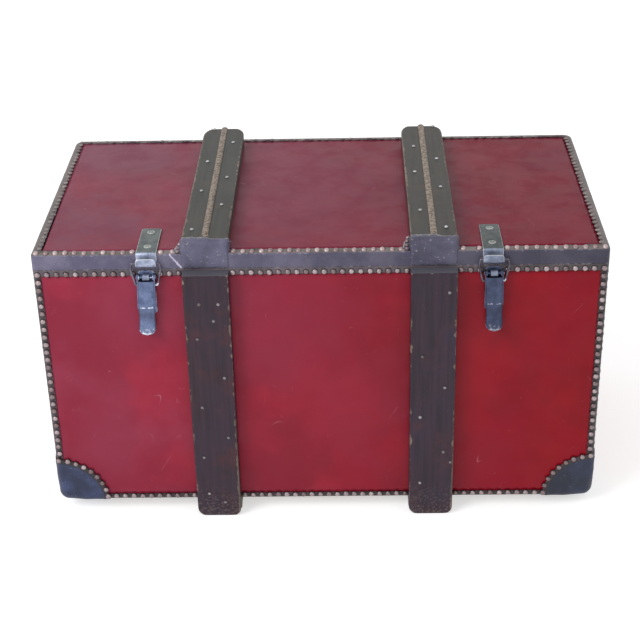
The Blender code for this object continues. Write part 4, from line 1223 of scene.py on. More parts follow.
def slat_ring(half, thick, chips, rubbed, bead, feet):
    """The section of a slat as (across, out, wear, mark), with an edge radius and a wear for each side.

    bead is the height of the bead here, or None for a slat without one. feet holds the wear of the two
    lower edges.
    """
    points = [(-half, FOOT, 0.1, 0), (-half, 0, feet[0], 0), (half, 0, feet[1], 0), (half, FOOT, 0.1, 0)]
    for sign, chip in ((1, chips[1]), (-1, chips[0])):
        start, end = (0, 90) if sign > 0 else (90, 180)
        centre = (sign * (half - chip), thick - chip)
        worn = min(1.0, 0.35 + 0.28 * chip / MM + rubbed[sign > 0])
        curve = [(u, v, worn, 0) for u, v in arc(centre, chip, start, end, 4)]
        near = [(sign * (half - chip - 4 * MM), thick, 0.0, 0)]
        if sign > 0:
            points += [(half, thick - chip - 3 * MM, 0.15, 0)] + curve + near
            if bead is not None:
                points += [(u * BEAD_HALF, thick + v * bead, 0.0, (bead > 0.5 * MM) * (v > 0.3))
                           for u, v in arc((0, 0), 1, 0, 180, 12)]
            else:
                points += [(0, thick, 0.0, 0)]
        else:
            points += near + curve + [(-half, thick - chip - 3 * MM, 0.15, 0)]
    return points


print("top of the lid's slats, mm:", round(LID_SLAT_TOP / MM, 1))

# %% [markdown]
# A slat has a square end and, on the lid or a wall, an end with rounded corners, and the loft needs
# closer stations at both. A noise decides where its edges are dented: broad dents with small chips in
# them. Random values for each station would be too jagged.

# %% Stations and chips of a slat
SLAT_STEPS = 70
END_STEPS = 12


def slat_places(start, end, tip, butt, round_end):
    """Stations along a slat from start to end, whose rounded end is the tip and square end the butt."""
    places = [start + (end - start) * i / SLAT_STEPS for i in range(SLAT_STEPS + 1)]
    if round_end:
        long = round_end[1]
        curve = [long * (1 - math.cos(math.radians(90 * i / END_STEPS))) for i in range(END_STEPS + 1)]
        toward = 1 if tip < butt else -1
        places = [p for p in places if abs(p - tip) > long] + [tip + toward * c for c in curve]
    ends = [butt + (1 if tip > butt else -1) * d for d in (0.4 * MM, 1.2 * MM)]
    return sorted(set(places + ends))


def slat_chips(middle, place, crest):
    """The radius of the two long edges at a station."""
    chips = []
    for seed in (11.0, 17.0):
        dent = wander((middle, place, crest), 0.011, seed)
        dent += 0.6 * wander((middle, place, crest), 0.035, seed)
        chips.append(SLAT_EDGE * 0.7 + max(0.0, dent) * 2.4 * MM)
    return chips


def slat_depth(face, low, high, beaded):
    """Where the back of a slat lies, where its packed face lies, and how thick it is drawn."""
    seat = {"front": high.y, "back": low.y, "lid": low.z, "floor": high.z}[face]
    crest = {"front": low.y, "back": high.y, "lid": high.z, "floor": low.z}[face]
    thick = abs(crest - seat)
    if beaded:
        thick -= PACKED_BEAD - THICKER
    if face == "floor":
        thick -= SAG
        seat -= SAG
    return seat, crest, thick


print("stations of a front slat:", len(slat_places(0.0, 0.42, 0.0, 0.42, (13 * MM, 13 * MM))))

# %% [markdown]
# Every slat is a run of those sections. Wear is added where the real ones have it: on both ends, on the
# low part of the upright slats, and beside the bead near the lid's front. The runners under the box are
# the same boards without rounded ends, thinner by the sag.


# %% Slats
def make_slat(
    name, node, face, round_end, material, body, rubbed=(0.1, 0.1), feet=(0.1, 0.1), beaded=False
):
    """A slat on one face. round_end says how far its end's rounded corners reach across and along."""
    low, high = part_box(node)
    middle, half = (low.x + high.x) / 2, (high.x - low.x) / 2
    upright = face in ("front", "back")
    start, end = (low.z, high.z) if upright else (low.y, high.y)
    tip, butt = (end, start) if face == "lid" else (start, end)
    seat, crest, thick = slat_depth(face, low, high, beaded)
    out = 1 if crest > seat else -1
    rings = []
    for place in slat_places(start, end, tip, butt, round_end):
        left = abs(place - tip)
        narrow = 0.0
        if round_end and left < round_end[1]:
            narrow = round_end[0] * (1 - math.sqrt(1 - (1 - left / round_end[1]) ** 2))
        flush = max(0.0, 1.2 * MM - abs(place - butt)) * 0.8
        tip_round = max(0.0, 1.5 * MM - left) * 0.8
        rise = min(1.0, max(0.0, (place - butt) / MM - BEAD_START) / 4) * BEAD_HEIGHT if beaded else None
        low_end = 0.38 * fall(place, 60 * MM, 190 * MM) if upright else 0
        section = slat_ring(
            half - narrow - 0.2 * MM, thick - flush - tip_round, slat_chips(middle, place, crest),
            (rubbed[0], rubbed[1] + low_end), rise, feet,
        )
        ring = []
        for u, v, worn, marked in section:
            u = u + (0.15 * MM * wander((u, place, v), 0.03, 4.0) if abs(u) > half / 2 else 0)
            if flush or tip_round:
                worn = max(worn, 0.6)
            if beaded:
                worn = max(worn, 0.62 * fall(abs(place - butt), 10 * MM, 18 * MM) * (u > 0.1 * half))
            across, away = middle + u, seat + out * v
            ring.append(((across, away, place) if upright else (across, place, away), worn, marked))
        rings.append(ring)
    return add_piece(loft(name, rings), material, body, "slat_wood", node)


UPRIGHT_END = (13 * MM, 13 * MM)
LID_END = (17 * MM, 31 * MM)
for side in ("left", "right"):
    make_slat(
        f"front_batten_{side}", f"front_slat_{side}", "front", UPRIGHT_END, front_wood, "case",
        rubbed=(-0.1, -0.03),
    )
    make_slat(f"back_batten_{side}", f"back_slat_{side}", "back", UPRIGHT_END, front_wood, "case")
    make_slat(f"floor_runner_{side}", f"runner_{side}", "floor", None, lid_wood, "case")
    # Their left edges are rubbed lighter: partly wear, partly painted light from the left.
    lid_slat = make_slat(
        f"lid_batten_{side}", f"lid_slat_{side}", "lid", LID_END, lid_wood, "lid",
        rubbed=(0.15, -0.05), feet=(0.3, 0.8), beaded=True,
    )
print("slats and runners: 8, faces of a lid slat:", len(lid_slat.data.polygons))

# %% [markdown]
# The hasps, the latch seats, the hinges and the handles' plates have the right shape already. A copy of each
# gets its doubled points merged and its sharp edges rolled over with a narrow bevel, and the new faces are
# marked as worn: the finish rubs off there first, and their brightness also stands for painted highlights on
# the edges. A bevel modifier would not say which faces are new.

# %% Refine a imported piece
EAR_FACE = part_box("latch_base_left")[0].y + 2.8 * MM
SHARP_EDGE = math.radians(28)


def refine(name, node, material, body, slot, width, rubbed=None):
    """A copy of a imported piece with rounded, worn edges, that stands for it.

    rubbed gives the wear of a face from its middle.
    """
    bm = bmesh.new()
    bm.from_mesh(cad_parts[node].data)
    bmesh.ops.remove_doubles(bm, verts=bm.verts, dist=0.01 * MM)
    bmesh.ops.dissolve_limit(bm, angle_limit=math.radians(1), verts=bm.verts, edges=bm.edges)
    wear = bm.faces.layers.float.new("wear")
    sharp = [e for e in bm.edges if len(e.link_faces) == 2 and e.calc_face_angle() > SHARP_EDGE]
    made = bmesh.ops.bevel(
        bm, geom=sharp, offset=width, offset_type="OFFSET", segments=2, profile=0.5, affect="EDGES",
        clamp_overlap=True,
    )
    if rubbed:
        for face in bm.faces:
            face[wear] = rubbed(face.calc_center_median())
    for face in made["faces"]:
        # Bevel faces are bright: partly wear, partly painted highlight.
        face[wear] = 0.8
    return add_piece(finished_mesh(name, bm), material, body, slot, node)


for side in ("left", "right"):
    refine(f"hasp_{side}", f"hasp_plate_{side}", hasp_steel, "lid", "latch_steel", 0.7 * MM)
    # The fronts of the seat's ears are bright: partly rubbed, partly painted highlight.
    refine(f"latch_seat_{side}", f"latch_base_{side}", lever_steel, "case", "latch_steel", 0.4 * MM,
           rubbed=lambda middle: 0.7 * (middle.y < EAR_FACE))
    refine(f"case_hinge_{side}", f"hinge_case_leaf_{side}", hinge_steel, "case", "fitting_steel", 0.3 * MM)
    refine(f"lid_hinge_{side}", f"hinge_lid_leaf_{side}", hinge_steel, "lid", "fitting_steel", 0.3 * MM)
    refine(f"hinge_rod_{side}", f"hinge_pin_{side}", hinge_steel, "case", "fitting_steel", 0.3 * MM)
    for face in ("front", "back"):
        node = f"handle_bracket_{side}_{face}"
        refine(f"handle_plate_{side}_{face}", node, hinge_steel, "case", "fitting_steel", 0.4 * MM)
print("refined fittings:", 2 * 7)

# %% [markdown]
# The front end of each lid slat is wrapped in leather, which also runs down over the lid's lip: a single
# piece, folded wet and nailed at the side. A cloth simulation would be hard to steer. It is drawn like
# the corner caps, as three flat faces for each half, pulled onto rounded edges. Its back edge is torn.

# %% Faces of a wrap
WRAP_REACH = 14 * MM
WRAP_ROUND = 6 * MM
WRAP_CROWN = LID_SLAT_TOP + 1.5 * MM
TORN = 6 * MM
FLAP_REACH = 46 * MM
FLAP_WIDTH = 11.5 * MM
WRAP_WEAR = {0: 0.55, 1: 0.4, 4: 0.35, 5: 0.45, 6: 0.55, 7: 0.65, 8: 0.8}


def wrap_half(middle, half, front, drop, sx):
    """The grids of a wrap's top, apron and flank, for its right half or, with an sx of -1, its left."""

    def seat(dx, dy, dz, worn):
        """A point from its depths behind the flank, the front and the top of the block."""
        inner = round_over((dx, dy, dz), WRAP_ROUND)
        x = middle - sx * (inner.x - half)
        lump = 0.6 * MM * wander((x, dy, dz), 0.016, 9.0)
        return (x, front + inner.y - lump, WRAP_CROWN - inner.z + lump * 0.6), worn, 0.0

    top, apron, flank = [], [], []
    for dx in even_steps(half, 16):
        ragged = 3.6 * MM * wander((middle - sx * (dx - half), 0, 0), 0.007, 21.0)
        torn = TORN * fall(abs(sx * (half - dx) - 0.55 * half), 0.2 * half, 0.5 * half)
        reach = WRAP_REACH + ragged - torn
        top.append([seat(dx, reach * i / 8, 0, WRAP_WEAR.get(i, 0.15)) for i in range(9)])
        apron.append([seat(dx, 0, dz, 0.1 + 0.7 * (dz > drop - 1 * MM)) for dz in even_steps(drop, 20)])
    deep = WRAP_CROWN - TOP - 0.2 * MM
    for dz in even_steps(deep, 9):
        reach = WRAP_REACH - 4 * MM + 1.5 * MM * wander((dz, sx, middle), 0.006, 31.0)
        if sx > 0:
            reach += FLAP_REACH * 0.6 * (dz / deep) ** 2 + 4 * MM
        flank.append([seat(0, reach * i / 10, dz, 0.15 + 0.85 * (i == 10)) for i in range(11)])
    return top, apron, flank


print("crown of a wrap above the lid, mm:", round((WRAP_CROWN - TOP) / MM, 1))

# %% [markdown]
# On its left side a narrow flap reaches further back and is nailed to the lid. It is a grid of its own
# that tapers in a curve. The two halves are merged along the middle. A wrap has no closed skin to say
# what is outside, so each separate stretch of faces is turned to the front and upwards.


# %% Leather over the slats' ends
def flap_grid(middle, half, front):
    """The points of the flap, in 12 lines across it from the front to the back."""
    grid = []
    for i in range(13):
        share = i / 12
        width = FLAP_WIDTH * (1 - share ** 2) + 1.2 * MM * wander((share, middle, 1), 0.15, 3.0)
        y = front + 3 * MM + FLAP_REACH * share
        line = even_steps(max(width, 1 * MM), 4)
        grid.append([((middle - half + 1.5 * MM - d, y, TOP + 1.6 * MM - d * 0.08),
                      0.55 + 0.45 * (d == line[-1] or i == 12), 0.0) for d in line])
    return grid


def turn_outward(bm, outward):
    """Turn every stretch of joined faces so that most of it faces outward."""
    left = set(bm.faces)
    while left:
        island, fresh = set(), {left.pop()}
        while fresh:
            island |= fresh
            fresh = {f for face in fresh for e in face.edges for f in e.link_faces} - island
        left -= island
        if sum(face.normal.dot(outward) * face.calc_area() for face in island) < 0:
            bmesh.ops.reverse_faces(bm, faces=list(island))


def make_wrap(name, node):
    low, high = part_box(node)
    middle, half, front = (low.x + high.x) / 2, (high.x - low.x) / 2, low.y
    bm = start_mesh()
    for sx in (-1, 1):
        for grid in wrap_half(middle, half, front, WRAP_CROWN - low.z, sx):
            add_grid(bm, grid)
    bmesh.ops.remove_doubles(bm, verts=bm.verts, dist=0.02 * MM)
    add_grid(bm, flap_grid(middle, half, front))
    bmesh.ops.recalc_face_normals(bm, faces=bm.faces)
    turn_outward(bm, Vector((0, -1, 1)))
    return mesh_from(name, bm)


for side in ("left", "right"):
    node = f"slat_end_cover_{side}"
    wrap = add_piece(make_wrap(f"end_wrap_{side}", node), wrap_leather, "lid", "binding_leather", node)
    thicken(wrap, 1.2 * MM, -1)
print("slat ends wrapped: 2, faces of each:", len(wrap.data.polygons))

# %% [markdown]
# A latch lever is pressed from sheet, with a rounded tip and a crowned face. It is lofted across its width,
# so that the crown, two small stop dimples and the crease are part of one skin. Dimples joined with a
# Boolean would lose their soft borders. Light is painted on through wear and mark: highlights on the crease,
# the dimples and the tip, and shade in the hollow, along the rolled sides and on the back.

# %% Section of a lever
LEVER_HALF = 12.6 * MM
DIMPLES = ((-6.2 * MM, 22 * MM), (5.2 * MM, 22 * MM))
CREASE = 48 * MM
HOLLOW = 61 * MM
CROWN = 1.6 * MM


def crowned_face(half, down, to_tip):
    """The outer face of a lever, at a distance down it, as (across, out, wear with painted highlights,
    painted shade).
    """
    crease = math.exp(-(((down - CREASE) / (1.1 * MM)) ** 2))
    # Painted shade in the hollow, where the lever comes in towards the trunk.
    hollow_shade = 0.4 * math.exp(-(((down - HOLLOW) / (9 * MM)) ** 2))
    face = []
    for i in range(29):
        share = math.sin(math.radians(90 * (i / 14 - 1)))
        u = share * half
        bumps = sum(
            math.exp(-(((u - x) / (3 * MM)) ** 2 + ((down - z) / (1.3 * MM)) ** 2)) for x, z in DIMPLES
        )
        rise = -0.3 * MM + CROWN * (1 - abs(share) ** 3) + 0.3 * MM * crease + 0.4 * MM * bumps
        # Painted highlights: wear rises on the dimples, along the crease and at the tip.
        worn = 0.28 + 0.36 * bumps + 0.8 * crease * (0.2 < abs(share) < 0.8)
        worn += 0.36 * fall(to_tip, 6 * MM, 18 * MM) + 0.2 * (to_tip < 3.5 * MM)
        # Painted shade along the rolled sides.
        rim = 0.7 * (abs(share) > 0.9) * (to_tip > 8 * MM)
        face.append((u, rise, min(1, worn), max(hollow_shade, rim)))
    return face


highest = max(rise for _, rise, _, _ in crowned_face(LEVER_HALF, 22 * MM, 70 * MM))
print("highest point of a lever's face, at the dimples, mm:", round(highest / MM, 2))

# %% [markdown]
# Seen from the side, a lever stands off the trunk, comes in towards it and turns out again at the tip,
# where a thumb lifts it. That line is a short path, and the plate is a run of sections along it, drawn in
# to a half circle at the tip. Worn rivets let both levers hang a little askew.

# %% Plate of a lever
SHEET = 1.6 * MM
TIP_ROUND = 11 * MM
LEVER_PATH = ((3.8, 5.5), (3.8, 48), (1.6, 62), (0.4, 74), (2.2, 84), (6.2, 93))
LEAN = {"left": -0.045, "right": 0.03}


def along_path(path, count):
    """Even stations on a path of (out, down), in millimetres: each is its place in metres, the outward
    direction there and the way that is left to the tip."""
    points = [Vector(point) * MM for point in path]
    runs = [(b - a).length for a, b in zip(points, points[1:])]
    total = sum(runs)
    for i in range(count + 1):
        left = total * i / count
        for a, b, run in zip(points, points[1:], runs):
            if left <= run + 1e-9:
                break
            left -= run
        ahead = (b - a).normalized()
        yield a.lerp(b, min(1, left / run)), Vector((ahead.y, -ahead.x)), total * (1 - i / count)


def lever_plate(middle, pivot_y, pivot_z, lean):
    """The rings of a lever's plate, which leans sideways by lean for each unit down."""
    rings = []
    for (out_by, down), outward, to_tip in along_path(LEVER_PATH, 64):
        half = LEVER_HALF - 0.9 * MM * math.exp(-(((down - 66 * MM) / (14 * MM)) ** 2))
        if to_tip < TIP_ROUND:
            half -= TIP_ROUND - math.sqrt(max(0, TIP_ROUND ** 2 - (TIP_ROUND - to_tip) ** 2))
        half = max(half, 0.6 * MM)
        section = crowned_face(half, down, to_tip)
        # The back of the plate gets a little painted shade.
        for i in range(13):
            share = 1 - i / 6
            section.append((share * half, -SHEET / 2 + 0.5 * MM * (1 - share ** 2), 0.1, 0.3))
        sway = middle + lean * down
        rings.append([
            ((sway + u, pivot_y - out_by - outward.x * v, pivot_z - down - outward.y * v), worn, dark)
            for u, v, worn, dark in section
        ])
    return rings


print("rings of a lever's plate:", len(lever_plate(0.0, 0.0, 0.0, 0.0)))

# %% [markdown]
# Two arms are turned back along the sides of the rivet, and a sleeve sits on the rivet between them. The
# arms could be bent out of the plate's skin, but as flat plates that touch it they look the same and
# stay simple. The sleeve is turned, so it is a loft of circles, and it stays with the case.

# %% Levers and sleeves
PIVOT_ROUND = 5 * MM
SLEEVE = ((-5.2, 2.6), (-5.2, 4.3), (-4.8, 4.8), (4.8, 4.8), (5.2, 4.3), (5.2, 2.6))


def lever_arm(middle, pivot_y, pivot_z, lean, half, sx):
    """The rings of one arm, a plate of sheet from its outer side to its inner one."""
    web = pivot_y - LEVER_PATH[0][0] * MM
    eye = arc((pivot_y, pivot_z), PIVOT_ROUND, 180, 0, 12)
    # The fronts of the arms' eyes are bright: partly rubbed, partly painted highlight.
    outline = [(y, z, 0.62 if y < pivot_y - 2 * MM else 0.2) for y, z in eye]
    outline += [(pivot_y + PIVOT_ROUND, pivot_z - 18 * MM, 0.3), (web, pivot_z - 50 * MM, 0.1)]
    outline += [(web, pivot_z - 11 * MM, 0.5)]
    outer, inner = sx * half, sx * (half - SHEET)
    return [[((middle + x + lean * (pivot_z - z), y, z), worn, 0.0) for y, z, worn in outline]
            for x in (outer, (outer + inner) / 2, inner)]


for side in ("left", "right"):
    node = f"latch_lever_{side}"
    low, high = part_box(node)
    middle, pivot_y, pivot_z = (low.x + high.x) / 2, high.y - PIVOT_ROUND, high.z - PIVOT_ROUND
    bm = start_mesh()
    add_rings(bm, lever_plate(middle, pivot_y, pivot_z, LEAN[side]))
    for sx in (-1, 1):
        add_rings(bm, lever_arm(middle, pivot_y, pivot_z, LEAN[side], (high.x - low.x) / 2, sx))
    add_piece(finished_mesh(f"lever_{side}", bm), lever_steel, node, "latch_steel", node)
    sleeve = []
    for x, radius in SLEEVE:
        circle = arc((pivot_y, pivot_z), radius * MM, 0, 345, 23)
        sleeve.append([((middle + x * MM, y, z), 0.2, 0.2) for y, z in circle])
    add_piece(loft(f"rivet_sleeve_{side}", sleeve), hasp_steel, "case", "latch_steel")
print("levers: 2, sleeves on the rivets: 2")

# %% [markdown]
# Bent wire and sewn handles are tubes along a path. The path is given by its few corners, which are then
# rounded, as a former in a vice bends wire. A curve object with a round bevel is the usual way to a tube.
# Here it is a loft, because its radius and its wear change along the way.


# %% Paths and tubes
def rounded_path(points, radius, count):
    """A path with each inner corner rounded."""
    path = [Vector(points[0])]
    for before, corner, after in zip(points, points[1:], points[2:]):
        corner = Vector(corner)
        back = (Vector(before) - corner).normalized()
        ahead = (Vector(after) - corner).normalized()
        half = back.angle(ahead) / 2
        run = radius / math.tan(half)
        centre = corner + (back + ahead).normalized() * radius / math.sin(half)
        start = corner + back * run - centre
        end = corner + ahead * run - centre
        for i in range(count + 1):
            path.append(centre + start.normalized().slerp(end.normalized(), i / count) * radius)
    path.append(Vector(points[-1]))
    return path


def close_stations(path, apart):
    """The same path with more points, so that a value along it can change quickly."""
    fine = []
    for a, b in zip(path, path[1:]):
        count = max(1, round((b - a).length / apart))
        fine += [a.lerp(b, i / count) for i in range(count)]
    return fine + [path[-1]]


def tube(name, path, radii, sides, up, worn=lambda place: 0.2):
    """A tube along a path, with its wear at each place. up is a direction that the path never takes."""
    rings = []
    for i, place in enumerate(path):
        ahead = (path[min(i + 1, len(path) - 1)] - path[max(i - 1, 0)]).normalized()
        side = ahead.cross(Vector(up)).normalized()
        top = side.cross(ahead)
        ring = []
        for u, v in arc((0, 0), radii[i], 0, 360, sides)[:-1]:
            ring.append((place + side * u + top * v, worn(place), 0.0))
        rings.append(ring)
    return loft(name, rings)


print("points on a rounded corner:", len(rounded_path([(0, 0, 0), (1, 0, 0), (1, 1, 0)], 0.1, 8)))

# %% [markdown]
# The bail is one length of round wire, whose ends turn in the lever's arms and whose bar lies in the hasp's
# hook. Its wear is painted highlight: a light wear all along, which breaks into bright patches, and a bright
# glint at the foot of its right leg. It is drawn a little thicker than the packed wire.

# %% Bails
PACKED_WIRE = 1.5 * MM
WIRE = 1.8 * MM
WIRE_BEND = 1.8 * MM
BAIL_POINTS = ((11.6, 0), (16, 0), (22, 25), (20.2, 34.4))
for side in ("left", "right"):
    node = f"latch_bail_{side}"
    low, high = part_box(node)
    middle, axis_y, axis_z = (low.x + high.x) / 2, (low.y + high.y) / 2, low.z + PACKED_WIRE
    right = [(middle + x * MM, axis_y, axis_z + z * MM) for x, z in BAIL_POINTS]
    left = [(middle - x * MM, axis_y, axis_z + z * MM) for x, z in BAIL_POINTS]
    path = close_stations(rounded_path(left + right[::-1], WIRE_BEND, 8), 1.5 * MM)
    # Painted highlights: a light wear all along, broken into bright patches, and a glint at this foot of the
    # right leg.
    foot = Vector((middle + 16 * MM, axis_y, axis_z))
    mesh = tube(
        f"bail_{side}", path, [WIRE] * len(path), sides=14, up=(0, 1, 0),
        worn=lambda place: 0.3 + 0.7 * ((place - foot).length < 3 * MM),
    )
    add_piece(mesh, bail_steel, node, "latch_steel", node)
print("bails: 2, rings in each wire:", len(path))

# %% [markdown]
# The end handles are leather sewn round a core, thick in the grip and narrow at the eyes. The tube above
# makes them, with a radius for each point of the path. Their seam lies towards the trunk and isn't seen,
# so it is left out.

# %% End handles
handle_low, handle_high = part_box("end_handle_right")
GRIP_RADIUS = (handle_high.x - handle_low.x) / 2
EYE_RADIUS = 3 * MM
HANDLE_BEND = 10 * MM
HANDLE_DROP = 46 * MM
ELBOW_HALF = 56 * MM
GRIP_HALF = 38 * MM
axis_z = handle_high.z - EYE_RADIUS
for side in ("left", "right"):
    node = f"end_handle_{side}"
    low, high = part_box(node)
    axis_x = (low.x + high.x) / 2
    half_path = [(axis_x, -high.y, axis_z), (axis_x, -ELBOW_HALF, axis_z)]
    half_path.append((axis_x, -GRIP_HALF, axis_z - HANDLE_DROP))
    path = rounded_path(half_path + [(x, -y, z) for x, y, z in half_path[::-1]], HANDLE_BEND, 10)
    fine = close_stations(path, 3 * MM)
    drops = [min(1, max(0, (axis_z - p.z) / HANDLE_DROP)) for p in fine]
    radii = [EYE_RADIUS + (GRIP_RADIUS - EYE_RADIUS) * math.sqrt(drop) for drop in drops]
    mesh = tube(f"carry_handle_{side}", fine, radii, sides=20, up=(1, 0, 0))
    add_piece(mesh, grip_leather, node, "handle_leather", node)
print("end handles: 2, thickness of the grip in mm:", round(2 * max(radii) / MM, 1))

# %% [markdown]
# The boards, the lid's rails and the dust strips stay as they were packed, because nearly all of them is
# covered or inside. They only get their finish: paper inside for the boards, and bare wood for the rest.

# %% Finish the boards
boards = [(name, node) for name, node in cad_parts.items() if not node.hide_render]
for name, node in boards:
    papered = name.endswith("_board")
    node.data.materials.clear()
    node.data.materials.append(papered_board if papered else bare_board)
print("boards with a finish:", len(boards))

# %% [markdown]
# Hundreds of nails can't be placed by hand, so Geometry Nodes trees set them. A tree takes named inputs,
# as a shader group does. Chance comes in as small random shifts and tilts from a seed, so every run gives
# the same nails. Particles would be hard to end at a corner.

# %% Start a geometry tree
HEAD_INPUTS = [
    ("Head Radius", "NodeSocketFloat"), ("Head Height", "NodeSocketFloat"), ("Shift", "NodeSocketFloat"),
    ("Tilt", "NodeSocketFloat"), ("Seed", "NodeSocketInt"), ("Finish", "NodeSocketMaterial"),
]


def start_geometry(name, inputs):
    tree = bpy.data.node_groups.new(name, "GeometryNodeTree")
    tree.interface.new_socket("Geometry", in_out="INPUT", socket_type="NodeSocketGeometry")
    for label, kind in inputs:
        tree.interface.new_socket(label, in_out="INPUT", socket_type=kind)
    tree.interface.new_socket("Geometry", in_out="OUTPUT", socket_type="NodeSocketGeometry")
    return Recipe(tree), tree.nodes.new("NodeGroupInput").outputs, tree.nodes.new("NodeGroupOutput").inputs


def random_vector(recipe, size, seed):
    low, high = recipe.scale((-1, -1, -1), size), recipe.scale((1, 1, 1), size)
    inputs = {0: low, 1: high, "Seed": seed}
    return recipe.get("FunctionNodeRandomValue", inputs, data_type="FLOAT_VECTOR")


def random_value(recipe, low, high, seed):
    inputs = {2: low, 3: high, "Seed": seed}
    return recipe.add("FunctionNodeRandomValue", inputs, data_type="FLOAT").outputs[1]


print("inputs of a head:", [label for label, _ in HEAD_INPUTS])

# %% [markdown]
# A nail's head is a flattened ball, half sunk. Its attribute crown says how high up its dome a point is, for
# the painted shade at its foot and the painted highlight on top. The heads are instances until the last
# step, so a random tone can be stored once for each. Then they are made real, because only real meshes can
# be kept.


# %% Heads of nails
def dome(recipe, given, segments, rings):
    """A flattened ball whose attribute crown grows from 0 at its seat to 1 on top."""
    inputs = {"Segments": segments, "Rings": rings, "Radius": 1.0}
    ball = recipe.get("GeometryNodeMeshUVSphere", inputs)
    place = recipe.get("GeometryNodeInputPosition")
    inputs = {"Geometry": ball, "Name": "crown", "Value": recipe.axis(place, "Z")}
    crowned = recipe.get(
        "GeometryNodeStoreNamedAttribute", inputs, data_type="FLOAT", domain="POINT"
    )
    size = {"X": given["Head Radius"], "Y": given["Head Radius"], "Z": given["Head Height"]}
    shape = recipe.get("ShaderNodeCombineXYZ", size)
    return recipe.get("GeometryNodeTransform", {"Geometry": crowned, "Scale": shape})


def turned_heads(recipe, given):
    """The rotation of each head: outwards, a little tilted, and spun by chance."""
    inputs = {"Name": "facing"}
    facing = recipe.get("GeometryNodeInputNamedAttribute", inputs, data_type="FLOAT_VECTOR")
    lean = random_vector(recipe, given["Tilt"], recipe.math("ADD", given["Seed"], 1.0))
    inputs = {"Vector": recipe.vector("ADD", facing, lean), "Factor": 1.0}
    turned = recipe.get("FunctionNodeAlignRotationToVector", inputs, axis="Z")
    angle = random_value(recipe, 0.0, 6.28, recipe.math("ADD", given["Seed"], 2.0))
    spin = recipe.get("FunctionNodeAxisAngleToRotation", {"Axis": (0, 0, 1), "Angle": angle})
    inputs = {"Rotation": turned, "Rotate By": spin}
    return recipe.get("FunctionNodeRotateRotation", inputs, rotation_space="LOCAL")


def set_heads(recipe, points, head, given, out):
    """Put a head on each point, with small random shifts, tilts, spins, sizes and tones."""
    seed = given["Seed"]
    shift = random_vector(recipe, given["Shift"], seed)
    moved = recipe.get("GeometryNodeSetPosition", {"Geometry": points, "Offset": shift})
    growth = random_value(recipe, 0.95, 1.05, recipe.math("ADD", seed, 3.0))
    inputs = {"Points": moved, "Instance": head, "Rotation": turned_heads(recipe, given), "Scale": growth}
    placed = recipe.get("GeometryNodeInstanceOnPoints", inputs)
    tone = random_value(recipe, 0.0, 1.0, recipe.math("ADD", seed, 4.0))
    inputs = {"Geometry": placed, "Name": "tone", "Value": tone}
    toned = recipe.get(
        "GeometryNodeStoreNamedAttribute", inputs, data_type="FLOAT", domain="INSTANCE"
    )
    real = recipe.get("GeometryNodeRealizeInstances", {"Geometry": toned})
    smooth = recipe.get("GeometryNodeSetShadeSmooth", {"Geometry": real})
    inputs = {"Geometry": smooth, "Material": given["Finish"]}
    recipe.tree.links.new(recipe.get("GeometryNodeSetMaterial", inputs), out["Geometry"])


print("recipes for heads: dome, turned_heads, set_heads")

# %% [markdown]
# Dome nails come in rows. Their tree takes the lines of a row as edges whose points carry the outward
# direction, and spaces points along them at the pitch. Small nails and screws stand at single points.
# All three share the steps above, and a screw's head also has a slot cut by a bar.

# %% Trees: nails along rows, nails and screws at points
recipe, given, out = start_geometry("nails along rows", [("Pitch", "NodeSocketFloat")] + HEAD_INPUTS)
curve = recipe.get("GeometryNodeMeshToCurve", {"Mesh": given["Geometry"]})
inputs = {"Curve": curve, "Length": given["Pitch"]}
spaced = recipe.get("GeometryNodeResampleCurve", inputs, mode="LENGTH")
points = recipe.add("GeometryNodeCurveToPoints", {"Curve": spaced}, mode="EVALUATED").outputs["Points"]
set_heads(recipe, points, dome(recipe, given, 12, 6), given, out)
nail_rows_tree = recipe.tree

recipe, given, out = start_geometry("nails at points", HEAD_INPUTS)
points = recipe.get("GeometryNodeMeshToPoints", {"Mesh": given["Geometry"]})
set_heads(recipe, points, dome(recipe, given, 10, 6), given, out)
nail_points_tree = recipe.tree

SLOT_SHARE = 0.26
recipe, given, out = start_geometry("screws at points", HEAD_INPUTS)
points = recipe.get("GeometryNodeMeshToPoints", {"Mesh": given["Geometry"]})
head = dome(recipe, given, 18, 10)
size = {
    "X": recipe.times(given["Head Radius"], 3.0),
    "Y": recipe.times(given["Head Radius"], SLOT_SHARE),
    "Z": recipe.times(given["Head Height"], 1.2),
}
bar = recipe.get("ShaderNodeCombineXYZ", size)
bar = recipe.get("GeometryNodeMeshCube", {"Size": bar})
lift = recipe.get("ShaderNodeCombineXYZ", {"Z": given["Head Height"]})
bar = recipe.get("GeometryNodeTransform", {"Geometry": bar, "Translation": lift})
inputs = {"Mesh 1": head, "Mesh 2": bar}
slotted = recipe.get("GeometryNodeMeshBoolean", inputs, operation="DIFFERENCE", solver="EXACT")
set_heads(recipe, points, slotted, given, out)
screws_tree = recipe.tree
print("nodes of the trees:", [len(t.nodes) for t in (nail_rows_tree, nail_points_tree, screws_tree)])

# %% [markdown]
# A row is a chain of points with the direction that faces outwards. The chains go into one mesh of loose
# edges for each body, the tree runs on it, and its result is kept as a plain mesh. The modifier could
# stay, but a plain mesh is the same in every program.


# %% Run a tree on rows
def rows_object(name, rows):
    """An object of loose edges from rows of (place, facing)."""
    mesh = bpy.data.meshes.new(name)
    places = [place for row in rows for place, _ in row]
    edges, start = [], 0
    for row in rows:
        edges += [(start + i, start + i + 1) for i in range(len(row) - 1)]
        start += len(row)
    mesh.from_pydata(places, edges, [])
    facing = mesh.attributes.new("facing", "FLOAT_VECTOR", "POINT")
    facing.data.foreach_set("vector", [v for row in rows for _, way in row for v in way])
    holder = bpy.data.objects.new(name, mesh)
    bpy.context.collection.objects.link(holder)
    return holder


